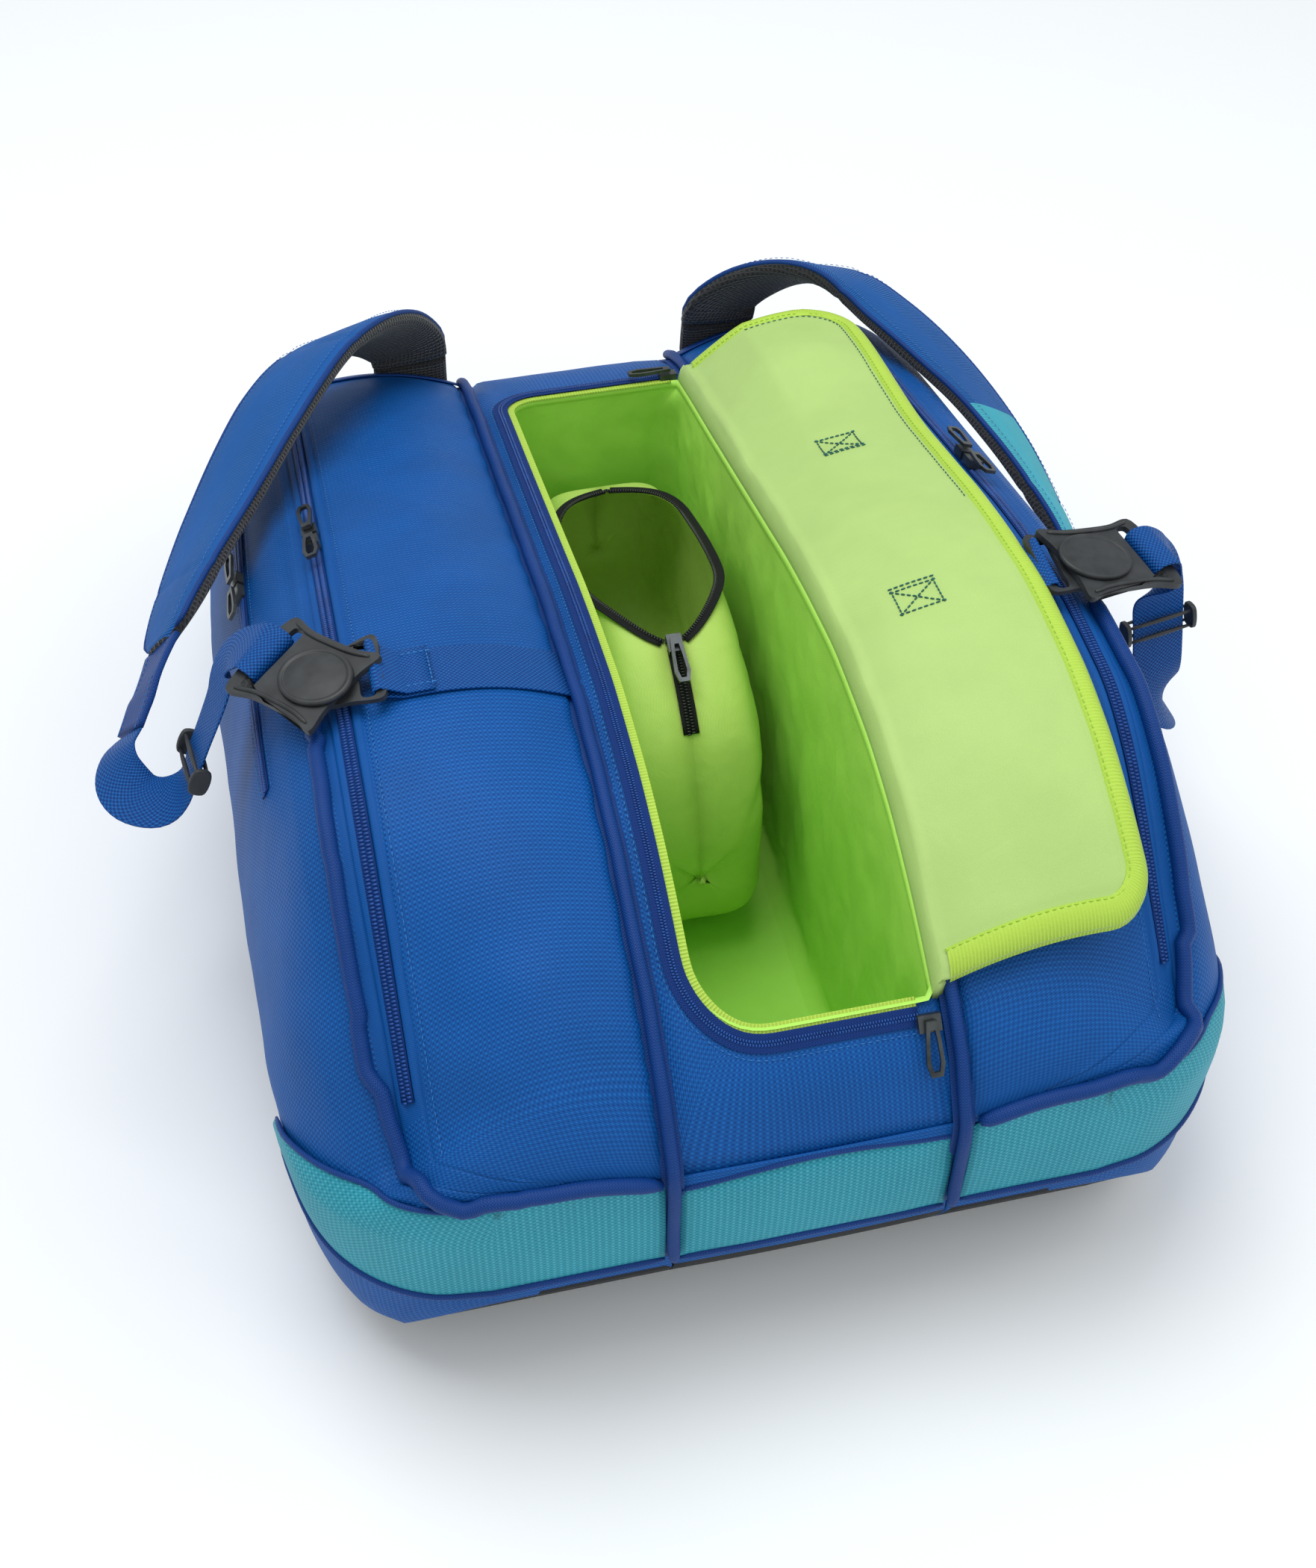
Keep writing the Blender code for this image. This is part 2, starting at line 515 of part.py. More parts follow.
# Box-stitched tab at each strap's lower end
for side, word in SIDES:
    a, b = Vector(strap_path[side][-2]), Vector(strap_path[side][-1])
    n = Vector(strap_normal[side][-1])
    way = (b - a).normalized()
    n = (n - way * n.dot(way)).normalized()
    start = b + way * 0.0006
    tip = Vector(tail_path[side][-1])
    path = [start, start + way * 0.006, (start + way * 0.006).lerp(tip, 0.45),
            (start + way * 0.006).lerp(tip, 0.80)]
    solid(word + "_strap_tab", *ribbon(path, [n, n, n, n], [0.044, 0.043, 0.038, 0.036], 0.004), NAVY,
          origin=(side * 0.117, HINGE_Y, HINGE_Z))


# Centre lid, folded open over the right compartment. It turns about a straight line near its hinge edge, and
# bends along one line over the crest
AXIS_RUN = [(-0.345, 0.256), (LID_FOLD_Y, 0.314), (0.262, 0.205)]


def lid_under(x, y):
    u = max((x - 0.079) / 0.143, 0.0)
    far_lift = 0.014 * smooth((y - 0.05) / 0.15) * min(1.0, u * 4.0)
    return along(VALLEY, y) + 0.0108 + 0.020 * crown(u) + far_lift


LID_XS = (0.0756, 0.0805, 0.0875, 0.096, 0.108, 0.122, 0.137, 0.152, 0.167, 0.180)
near_ys = [-0.3435, -0.336, -0.32, -0.285, -0.245, -0.20, -0.17, LID_FOLD_Y - LID_FOLD_GAP]
far_ys = [LID_FOLD_Y + LID_FOLD_GAP, -0.10, -0.04, 0.0, 0.065, 0.13, 0.195, 0.222, 0.240, 0.249]
crest_point = Vector((0.0725, LID_FOLD_Y, along(AXIS_RUN, LID_FOLD_Y)))
CORNERS = [(-0.3435, 0.91), (-0.336, 0.97), (-0.32, 1.0), (0.15, 1.0), (0.195, 0.985), (0.222, 0.93),
           (0.240, 0.83),
           (0.249, 0.70)]


def rounded(x, y):
    """Draws the lid's free edge in at its two corners."""
    return LID_XS[0] + (x - LID_XS[0]) * along(CORNERS, y)


solid("lid_near_half", *patch(LID_XS, near_ys, lid_under, 0.0, LID_T, rounded), LIME, origin=crest_point)
solid("lid_far_half", *patch(LID_XS, far_ys, lid_under, 0.0, LID_T, rounded), LIME, origin=crest_point)
edge_xs = (0.1803, 0.186, LID_OUTER)
solid("lid_binding_near", *patch(edge_xs, near_ys, lid_under, 0.0, LID_T, rounded), LIME, origin=crest_point)
solid("lid_binding_far", *patch(edge_xs, far_ys, lid_under, 0.0, LID_T, rounded), LIME, origin=crest_point)

# Carry handle on the lid's outer face, which lies underneath while the lid is open
handle_ys = [-0.126, -0.10, -0.07, -0.04, 0.0, 0.03, 0.055]
solid("lid_handle", *patch((0.108, 0.122, 0.137, 0.144), handle_ys, lid_under, -0.0027, 0.0022), NAVY,
      origin=crest_point)

# Shoe pouch, open at the top, lying in the centre compartment
POUCH = [(-0.128, 0.060, 0.130, 0.030), (-0.118, 0.040, 0.168, 0.042), (-0.100, 0.028, 0.200, 0.047),
         (-0.06, 0.022, 0.226, 0.049), (-0.02, 0.020, 0.236, 0.050), (0.03, 0.020, 0.234, 0.050),
         (0.09, 0.020, 0.214, 0.050), (0.15, 0.022, 0.186, 0.049), (0.19, 0.030, 0.160, 0.044),
         (0.205, 0.050, 0.125, 0.034)]


def pouch_ring(row, shrink=0.0, low=0.0):
    y, z0, z1, half = row
    z0, z1, half = z0 + shrink + low, z1 - shrink, half - shrink
    cx, mid = -0.002, (z0 + z1) / 2
    tall = (z1 - z0) / 2
    return [(cx + half * sx, y, mid + tall * sz) for sx, sz in
            [(-0.55, -1), (0.55, -1), (0.9, -0.88), (1, -0.6), (1, 0.5), (0.85, 0.82), (0.45, 1), (-0.45, 1),
             (-0.85, 0.82), (-1, 0.5), (-1, -0.6), (-0.9, -0.88)]]


pouch = solid("shoe_pouch", *loft([pouch_ring(r) for r in POUCH]), LIME)
well = [pouch_ring((r[0], r[1], r[2], r[3]), 0.004) for r in POUCH[2:-1]]
throat = loft([[(x, y, z) for x, y in ((-0.002 - 0.020, -0.015), (-0.002 + 0.020, -0.015),
                                       (-0.002 + 0.030, 0.02),
                                       (-0.002 + 0.030, 0.12), (-0.002 + 0.020, 0.145),
                                       (-0.002 - 0.020, 0.145),
                                       (-0.002 - 0.030, 0.12), (-0.002 - 0.030, 0.02))] for z in (0.12,
                                                                                                  0.30)])
carve(pouch, [loft(well), throat])


def pouch_top(x, y):
    return float(np.interp(y, [r[0] for r in POUCH], [r[2] for r in POUCH]))


solid("shoe_pouch_zip", *patch((-0.007, 0.003), [-0.100, -0.08, -0.06, -0.02], pouch_top, 0.0006, 0.0014),
      BLACK)


# Zip sliders and their loop pulls
def slider(name, place, way, out, pull_way, body_size=(0.0095, 0.0125, 0.0050)):
    """A slider at place on a zip that runs along way, with a loop pull lying along pull_way."""
    place, way, out, pull_way = [Vector(v) for v in (place, way, out, pull_way)]
    way = way.normalized()
    out = (out - way * out.dot(way)).normalized()
    side = out.cross(way)
    wide, long, tall = body_size
    body = box(place + out * (tall / 2), (wide, long, tall), (side, way, out))
    solid(name + "_slider", *body, STEEL, origin=place, roughness=0.35, metal=0.6)
    pull_way = pull_way.normalized()
    lift = (out - pull_way * out.dot(pull_way)).normalized()
    across = lift.cross(pull_way).normalized()
    pin = place + out * (tall + 0.0025)
    outline = [(-0.0030, -0.0020), (0.0030, -0.0020), (0.0042, 0.0100), (0.0050, 0.0220), (0.0032, 0.0290),
               (-0.0032, 0.0290), (-0.0050, 0.0220), (-0.0042, 0.0100)]
    hole = [(-0.0014, 0.0030), (0.0014, 0.0030), (0.0022, 0.0105), (0.0028, 0.0210), (0.0016, 0.0262),
            (-0.0016, 0.0262), (-0.0028, 0.0210), (-0.0022, 0.0105)]
    solid(name + "_pull", *framed(outline, hole, pin, (across, pull_way, lift), 0.0022), STEEL, origin=pin,
          roughness=0.3, metal=0.6)
    return pin, across


ARCH = Vector((0, 0.26, along(VALLEY, 0.26) - along(VALLEY, 0.0))).normalized()
for side, word, spots in ((-1, "left", (0.0405, 0.0555)), (1, "right", (0.0205, 0.0355))):
    for y, turn, tag in ((spots[0], -1, "near"), (spots[1], 1, "far")):
        lean = (top(ZIP_X - 0.003, y) - top(ZIP_X + 0.003, y)) / 0.006
        out = Vector((side * lean, 0.277, 1.0))
        place = Vector((side * ZIP_X, y, top(ZIP_X, y))) + out.normalized() * 0.0030
        slider(word + "_main_" + tag, place, ARCH, out, ARCH * turn)
for y, turn, tag in ((0.0470, -1, "near"), (0.0620, 1, "far")):
    p, way, out = pocket_point(y, 0.0030)
    ahead = (pocket_point(y + 0.02, 0.0030)[0] - p).normalized()
    slider("side_pocket_" + tag, p, ahead, out, ahead * turn, (0.0090, 0.0120, 0.0048))
near_out = Vector((0, -0.019, 0.017)).normalized()
slider("centre_near", Vector((0.0650, -0.3520, tub_top(0, -0.3520))) + near_out * 0.0024, (1, 0, 0),
       near_out,
       (0, -0.60, -0.80))
slider("centre_far", Vector((0.0640, 0.2552, tub_top(0, 0.2552) + 0.0024)), (1, 0, 0), (0, 0.277, 1),
       (-1, 0, 0))
slider("shoe_pouch", Vector((-0.002, -0.052, pouch_top(0, -0.052) + 0.0026)), (0, -0.04, -0.010), (0, 0, 1),
       (0, -0.04, -0.014))

for obj in bpy.data.objects:
    obj.select_set(False)
print("objects:", len(bpy.data.objects))
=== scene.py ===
import bisect
import math

import bmesh
import bpy
import numpy as np
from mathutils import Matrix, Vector, noise
from mathutils.bvhtree import BVHTree


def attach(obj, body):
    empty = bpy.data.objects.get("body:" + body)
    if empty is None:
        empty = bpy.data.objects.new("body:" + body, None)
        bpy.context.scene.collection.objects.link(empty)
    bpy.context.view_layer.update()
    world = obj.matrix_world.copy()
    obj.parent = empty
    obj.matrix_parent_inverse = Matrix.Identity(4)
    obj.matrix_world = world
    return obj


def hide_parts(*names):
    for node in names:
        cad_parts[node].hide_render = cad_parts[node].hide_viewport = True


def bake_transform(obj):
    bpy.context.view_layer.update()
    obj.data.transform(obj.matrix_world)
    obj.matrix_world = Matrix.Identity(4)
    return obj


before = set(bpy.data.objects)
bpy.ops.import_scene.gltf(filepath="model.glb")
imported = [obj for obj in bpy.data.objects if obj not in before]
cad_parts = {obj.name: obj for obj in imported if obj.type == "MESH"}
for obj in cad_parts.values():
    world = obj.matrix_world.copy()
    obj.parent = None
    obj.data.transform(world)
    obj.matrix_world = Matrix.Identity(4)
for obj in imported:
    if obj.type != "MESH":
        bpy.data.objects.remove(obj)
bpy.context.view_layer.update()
print("frame loaded")

# x runs to the bag's right, y from its near end to its far end, z up, in metres
bag = {
    "valley": [(-0.388, 0.178), (-0.375, 0.201), (-0.362, 0.218), (-0.345, 0.232), (-0.32, 0.249),
               (-0.285, 0.268), (-0.245, 0.284), (-0.20, 0.293), (-0.15, 0.295), (-0.10, 0.289),
               (-0.04, 0.277), (0.0, 0.266), (0.13, 0.230), (0.26, 0.194), (0.30, 0.178), (0.33, 0.158),
               (0.352, 0.130), (0.365, 0.100)],
    "keel": [(-0.388, 0.085), (-0.375, 0.058), (-0.36, 0.036), (-0.34, 0.018), (-0.31, 0.0065),
             (-0.285, 0.003), (0.27, 0.003), (0.30, 0.0065), (0.33, 0.022), (0.352, 0.048), (0.365, 0.07)],
    "outline": [(-0.388, 0.170), (-0.384, 0.200), (-0.372, 0.226), (-0.353, 0.246), (-0.33, 0.259),
                (-0.30, 0.267), (-0.25, 0.272), (0.0, 0.276), (0.20, 0.270), (0.26, 0.262), (0.30, 0.250),
                (0.33, 0.232), (0.352, 0.205), (0.365, 0.170)],
    "near": -0.388, "far": 0.365, "inner": 0.0795, "zip": 0.2085,
    "openLeft": -0.055, "openRight": 0.070, "openNear": -0.343, "openFar": 0.250, "openCorner": 0.036,
}
sides = ((-1, "left"), (1, "right"))


def curveThrough(table):
    # a smooth curve through the table's rows that never overshoots them
    ys, zs = [row[0] for row in table], [row[1] for row in table]
    rise = [(zs[i + 1] - zs[i]) / (ys[i + 1] - ys[i]) for i in range(len(ys) - 1)]
    inner = [0.0 if a * b <= 0 else 2 * a * b / (a + b) for a, b in zip(rise, rise[1:])]
    lean = [rise[0]] + inner + [rise[-1]]

    def at(y):
        y = min(max(y, ys[0]), ys[-1])
        i = min(bisect.bisect_right(ys, y) - 1, len(ys) - 2)
        h = ys[i + 1] - ys[i]
        t = (y - ys[i]) / h
        return ((2 * t**3 - 3 * t * t + 1) * zs[i] + (t**3 - 2 * t * t + t) * h * lean[i]
                + (3 * t * t - 2 * t**3) * zs[i + 1] + (t**3 - t * t) * h * lean[i + 1])
    return at


valleyAt, keelAt, outlineAt = [curveThrough(bag[key]) for key in ("valley", "keel", "outline")]


def ease(t):
    t = min(max(t, 0.0), 1.0)
    return t * t * (3.0 - 2.0 * t)


def hump(x, middle, width):
    return math.exp(-((x - middle) / width) ** 2)


def crown(u):
    if u < 0.55:
        return 1.0 - ((0.55 - u) / 0.55) ** 2
    return 1.0 - 0.55 * ((u - 0.55) / 0.45) ** 2


def topAt(x, y):
    u = max((abs(x) - 0.079) / 0.143, 0.0)
    fall = 0.055 * u * u * ease((-0.20 - y) / 0.16)
    shelf = 0.036 * u * u * ease((-0.352 - y) / 0.036)
    return valleyAt(y) + 0.022 * crown(u) - fall + shelf


def outerAt(y, side):
    return outlineAt(y) + (0.010 if side < 0 else -0.004)


def wander(p, size, seed=0.0):
    # soft noise of about the given wavelength in metres, from -1 to 1
    return noise.noise(Vector((p[0] / size + seed, p[1] / size - seed, p[2] / size + 2 * seed)))


def spread(*runs):
    # run after run of evenly spaced numbers, given as (start, end, step)
    out = []
    for start, end, step in runs:
        count = max(1, round(abs(end - start) / step))
        out += [start + (end - start) * i / count for i in range(count)]
    return out + [runs[-1][1]]


def smoothPath(points, spacing):
    # resamples a path, with any numbers carried beside each point, on a smooth curve
    rows = np.array(points, float)
    lengths = np.concatenate([[0], np.cumsum(np.linalg.norm(np.diff(rows[:, :3], axis=0), axis=1))])
    curves = [curveOf(lengths, rows[:, k]) for k in range(rows.shape[1])]
    count = max(2, round(lengths[-1] / spacing))
    return [[curve(lengths[-1] * i / count) for curve in curves] for i in range(count + 1)]


def curveOf(ts, values):
    # cubic curve with slopes taken from its neighbours
    ts, values = list(ts), list(values)
    slopes = []
    for i in range(len(ts)):
        a, b = max(i - 1, 0), min(i + 1, len(ts) - 1)
        slopes.append((values[b] - values[a]) / (ts[b] - ts[a]))

    def at(t):
        i = min(max(bisect.bisect_right(ts, t) - 1, 0), len(ts) - 2)
        h = ts[i + 1] - ts[i]
        u = (t - ts[i]) / h
        return ((2 * u**3 - 3 * u * u + 1) * values[i] + (u**3 - 2 * u * u + u) * h * slopes[i]
                + (3 * u * u - 2 * u**3) * values[i + 1] + (u**3 - u * u) * h * slopes[i + 1])
    return at


# Meshes

def newObject(name, verts, faces, materials, faceSlots=None, uvs=None, smooth=True):
    mesh = bpy.data.meshes.new(name)
    mesh.from_pydata([tuple(v) for v in verts], [], faces)
    for material in materials:
        mesh.materials.append(material)
    if faceSlots is not None:
        mesh.polygons.foreach_set("material_index", faceSlots)
    if uvs is not None:
        layer = mesh.uv_layers.new(name="cloth")
        layer.data.foreach_set("uv", np.array(uvs, float).reshape(-1))
    mesh.polygons.foreach_set("use_smooth", [smooth] * len(mesh.polygons))
    mesh.update()
    obj = bpy.data.objects.new(name, mesh)
    bpy.context.collection.objects.link(obj)
    return obj


def facing(grid, closed, outward):
    # unit normals of a grid of points, turned to agree with outward at its middle
    lengthwise = np.gradient(grid, axis=0)
    if closed:
        crosswise = (np.roll(grid, -1, axis=1) - np.roll(grid, 1, axis=1)) / 2
    else:
        crosswise = np.gradient(grid, axis=1)
    normals = np.cross(crosswise, lengthwise)
    size = np.linalg.norm(normals, axis=2, keepdims=True)
    normals = normals / np.maximum(size, 1e-12)
    i, j, way = outward
    return normals if np.dot(normals[i, j], way) > 0 else -normals


def clothGrid(name, grid, materials, slotAt=None, closed=False, caps=False, refColumn=None, outward=None,
              thick=0.0):
    # a woven piece through a grid of points, with UVs in metres along its warp and weft
    grid = np.array(grid, float)
    rows, cols = grid.shape[:2]
    ref = cols // 2 if refColumn is None else refColumn
    stepsAcross = np.linalg.norm(np.diff(grid, axis=1), axis=2)
    across = np.concatenate([np.zeros((rows, 1)), np.cumsum(stepsAcross, axis=1)], axis=1)
    wrap = across[:, -1] + np.linalg.norm(grid[:, 0] - grid[:, -1], axis=1) - across[:, ref]
    across = across - across[:, ref:ref + 1]
    lengths = np.concatenate([[0], np.cumsum(np.linalg.norm(np.diff(grid[:, ref], axis=0), axis=1))])
    faces, slots, uvs = [], [], []
    for i in range(rows - 1):
        for j in range(cols if closed else cols - 1):
            k = (j + 1) % cols
            faces.append((i * cols + j, i * cols + k, (i + 1) * cols + k, (i + 1) * cols + j))
            slots.append(slotAt(i, j) if slotAt else 0)
            right = (wrap[i], wrap[i + 1]) if k == 0 else (across[i, k], across[i + 1, k])
            uvs += [(across[i, j], lengths[i]), (right[0], lengths[i]), (right[1], lengths[i + 1]),
                    (across[i + 1, j], lengths[i + 1])]
    verts = grid.reshape(-1, 3)
    if caps:
        for i in (0, rows - 1):
            faces.append(tuple(i * cols + j for j in range(cols)))
            slots.append(slotAt(min(i, rows - 2), 0) if slotAt else 0)
            uvs += [(grid[i, j, 0], grid[i, j, 2]) for j in range(cols)]
    obj = newObject(name, verts, faces, materials, slots, uvs)
    if outward is not None:
        i, j, way = outward
        face = obj.data.polygons[i * (cols if closed else cols - 1) + j]
        if face.normal.dot(Vector(way)) < 0:
            obj.data.flip_normals()
    if caps:
        bm = bmesh.new()
        bm.from_mesh(obj.data)
        bmesh.ops.recalc_face_normals(bm, faces=bm.faces)
        bm.to_mesh(obj.data)
        bm.free()
    if thick:
        shell = obj.modifiers.new("thickness", "SOLIDIFY")
        shell.thickness = thick
        shell.offset = -1.0
        applyModifiers(obj)
    return obj


def applyModifiers(obj):
    depsgraph = bpy.context.evaluated_depsgraph_get()
    mesh = bpy.data.meshes.new_from_object(obj.evaluated_get(depsgraph))
    obj.modifiers.clear()
    obj.data = mesh


def placed(obj, body, slot, *nodes):
    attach(obj, body)
    if nodes:
        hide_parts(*nodes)
    return obj


def tubeAlong(name, points, radius, material, sides=12, squashed=1.0, reference=(0.31, 0.17, 0.93)):
    # a round cord along a path; squashed flattens it
    pts = [Vector(p[:3]) for p in points]
    up, grid = Vector(reference), []
    for i, p in enumerate(pts):
        ahead = (pts[min(i + 1, len(pts) - 1)] - pts[max(i - 1, 0)]).normalized()
        up = (up - ahead * up.dot(ahead)).normalized()
        side = ahead.cross(up)
        end = min(i, len(pts) - 1 - i)
        r = radius * (0.55 if end == 0 else 0.88 if end == 1 else 1.0)
        grid.append([p + (side * math.cos(a) + up * squashed * math.sin(a)) * r
                     for a in [2 * math.pi * k / sides for k in range(sides)]])
    return clothGrid(name, grid, [material], closed=True, caps=True)


def bandAlong(name, path, width, thick, materials, slotAt=None, ridge=0.0, ends=0.0):
    # webbing or a padded strap: path rows are x, y, z and the outward normal
    # width may be a function of its share
    count, grid = len(path), []
    for i, row in enumerate(path):
        p, n = Vector(row[:3]), Vector(row[3:6])
        ahead = (Vector(path[min(i + 1, count - 1)][:3]) - Vector(path[max(i - 1, 0)][:3])).normalized()
        n = (n - ahead * n.dot(ahead)).normalized()
        side = ahead.cross(n)
        w = (width(i / (count - 1)) if callable(width) else width) / 2
        t = (thick(i / (count - 1)) if callable(thick) else thick) / 2
        ring = []
        for a in range(36):
            angle = 2 * math.pi * a / 36
            c, s = math.cos(angle), math.sin(angle)
            power = 0.22 if ridge == 0 else 0.45
            x = math.copysign(abs(c) ** power, c)
            z = math.copysign(abs(s) ** (0.30 if ridge == 0 else 0.55), s)
            lift = ridge * (1.0 - x * x) * (1.0 if s > 0 else 0.45)
            ring.append(p + side * (x * w) + n * (z * t * (1.0 + lift)))
        grid.append(ring)
    return clothGrid(name, grid, materials, slotAt, closed=True, caps=True, refColumn=9)


def beads(name, rows, size, material):
    # many small rounded pieces in one mesh: rows are (centre, along, across, out)
    # size is half lengths on those axes
    verts, faces, uvs = [], [], []
    rings = [(-1.0, 0.0, 1), (-0.62, 0.78, 6), (0.0, 1.0, 6), (0.62, 0.78, 6), (1.0, 0.0, 1)]
    for centre, alongWay, acrossWay, out in rows:
        base, start = len(verts), []
        for share, reach, count in rings:
            start.append(len(verts))
            for k in range(count):
                a = 2 * math.pi * k / 6
                verts.append(centre + acrossWay * (share * size[1])
                             + alongWay * (math.cos(a) * reach * size[0])
                             + out * (math.sin(a) * reach * size[2]))
        for k in range(6):
            m = (k + 1) % 6
            faces.append((start[0], start[1] + m, start[1] + k))
            for r in (1, 2):
                faces.append((start[r] + k, start[r] + m, start[r + 1] + m, start[r + 1] + k))
            faces.append((start[3] + k, start[3] + m, start[4]))
    return newObject(name, verts, faces, [material])


def frames(path):
    # (point, ahead, side, out) along rows of x, y, z and normal
    out = []
    for i, row in enumerate(path):
        ahead = (Vector(path[min(i + 1, len(path) - 1)][:3]) - Vector(path[max(i - 1, 0)][:3])).normalized()
        n = Vector(row[3:6])
        n = (n - ahead * n.dot(ahead)).normalized()
        out.append((Vector(row[:3]), ahead, ahead.cross(n), n))
    return out


def stitchRow(name, path, material, length=0.0026, gap=0.0014, radius=0.00036, sink=0.0):
    # a row of lockstitches lying on the cloth
    rows = [(p + out * (radius * 0.35 - sink), side, ahead, out)
            for p, ahead, side, out in frames(smoothPath(path, length + gap))]
    return beads(name, rows, (radius, length / 2, radius * 0.8), material)


def coilZip(name, path, facts, tapeMaterial, coilMaterial):
    # two rows of coil turns on a woven tape
    turns, pitch = [], facts["pitch"]
    for index, (p, ahead, side, out) in enumerate(frames(smoothPath(path, pitch / 2))):
        hand = 1 if index % 2 else -1
        turns.append((p + side * (hand * facts["coil"] * 0.27) + out * facts["lift"], ahead, side, out))
    coil = beads(name + "Coil", turns, (pitch * 0.40, facts["coil"] * 0.29, facts["coil"] * 0.15),
                 coilMaterial)
    tapeRows = smoothPath(path, 0.006)
    tape = bandAlong(name + "Tape", tapeRows, facts["tape"], 0.0007, [tapeMaterial])
    return coil, tape


def inflate(obj, held, facts):
    # lets the cloth pillow out between its seams, capped, then keeps that shape
    start = np.array([v.co for v in obj.data.vertices])
    group = obj.vertex_groups.new(name="seams")
    for index, weight in enumerate(held):
        if weight > 0:
            group.add([index], weight, "REPLACE")
    cloth = obj.modifiers.new("cloth", "CLOTH")
    cloth.settings.quality = 5
    cloth.settings.mass = 0.15
    cloth.settings.tension_stiffness = facts["stiffness"]
    cloth.settings.compression_stiffness = facts["stiffness"]
    cloth.settings.bending_stiffness = facts["bending"]
    cloth.settings.use_pressure = True
    cloth.settings.uniform_pressure_force = facts["pressure"]
    cloth.settings.vertex_group_mass = "seams"
    cloth.settings.effector_weights.gravity = 0.0
    cloth.collision_settings.use_collision = False
    for index in range(1, facts["frames"] + 1):
        bpy.context.scene.frame_set(index)
    settled = obj.evaluated_get(bpy.context.evaluated_depsgraph_get())
    moved = np.array([v.co for v in settled.data.vertices]) - start
    size = np.linalg.norm(moved, axis=1, keepdims=True)
    moved *= np.tanh(size / facts["cap"]) * facts["cap"] / np.maximum(size, 1e-9)
    obj.modifiers.remove(cloth)
    obj.data.vertices.foreach_set("co", (start + moved).reshape(-1))
    obj.data.update()
    bpy.context.scene.frame_set(1)


# Materials

def hexColour(code):
    channels = [int(code[i:i + 2], 16) / 255 for i in (1, 3, 5)]
    return tuple(c / 12.92 if c <= 0.04045 else ((c + 0.055) / 1.055) ** 2.4 for c in channels) + (1.0,)


def addNode(tree, kind, settings=None, links=None):
    node = tree.nodes.new(kind)
    for key, value in (settings or {}).items():
        if isinstance(key, str) and hasattr(node, key):
            setattr(node, key, value)
        else:
            node.inputs[key].default_value = value
    for key, socket in (links or {}).items():
        tree.links.new(socket, node.inputs[key])
    return node


def newMaterial(name, shaderSettings):
    material = bpy.data.materials.new(name)
    material.use_nodes = True
    tree = material.node_tree
    shader = tree.nodes["Principled BSDF"]
    for key, value in shaderSettings.items():
        shader.inputs[key].default_value = value
    return material, tree, shader


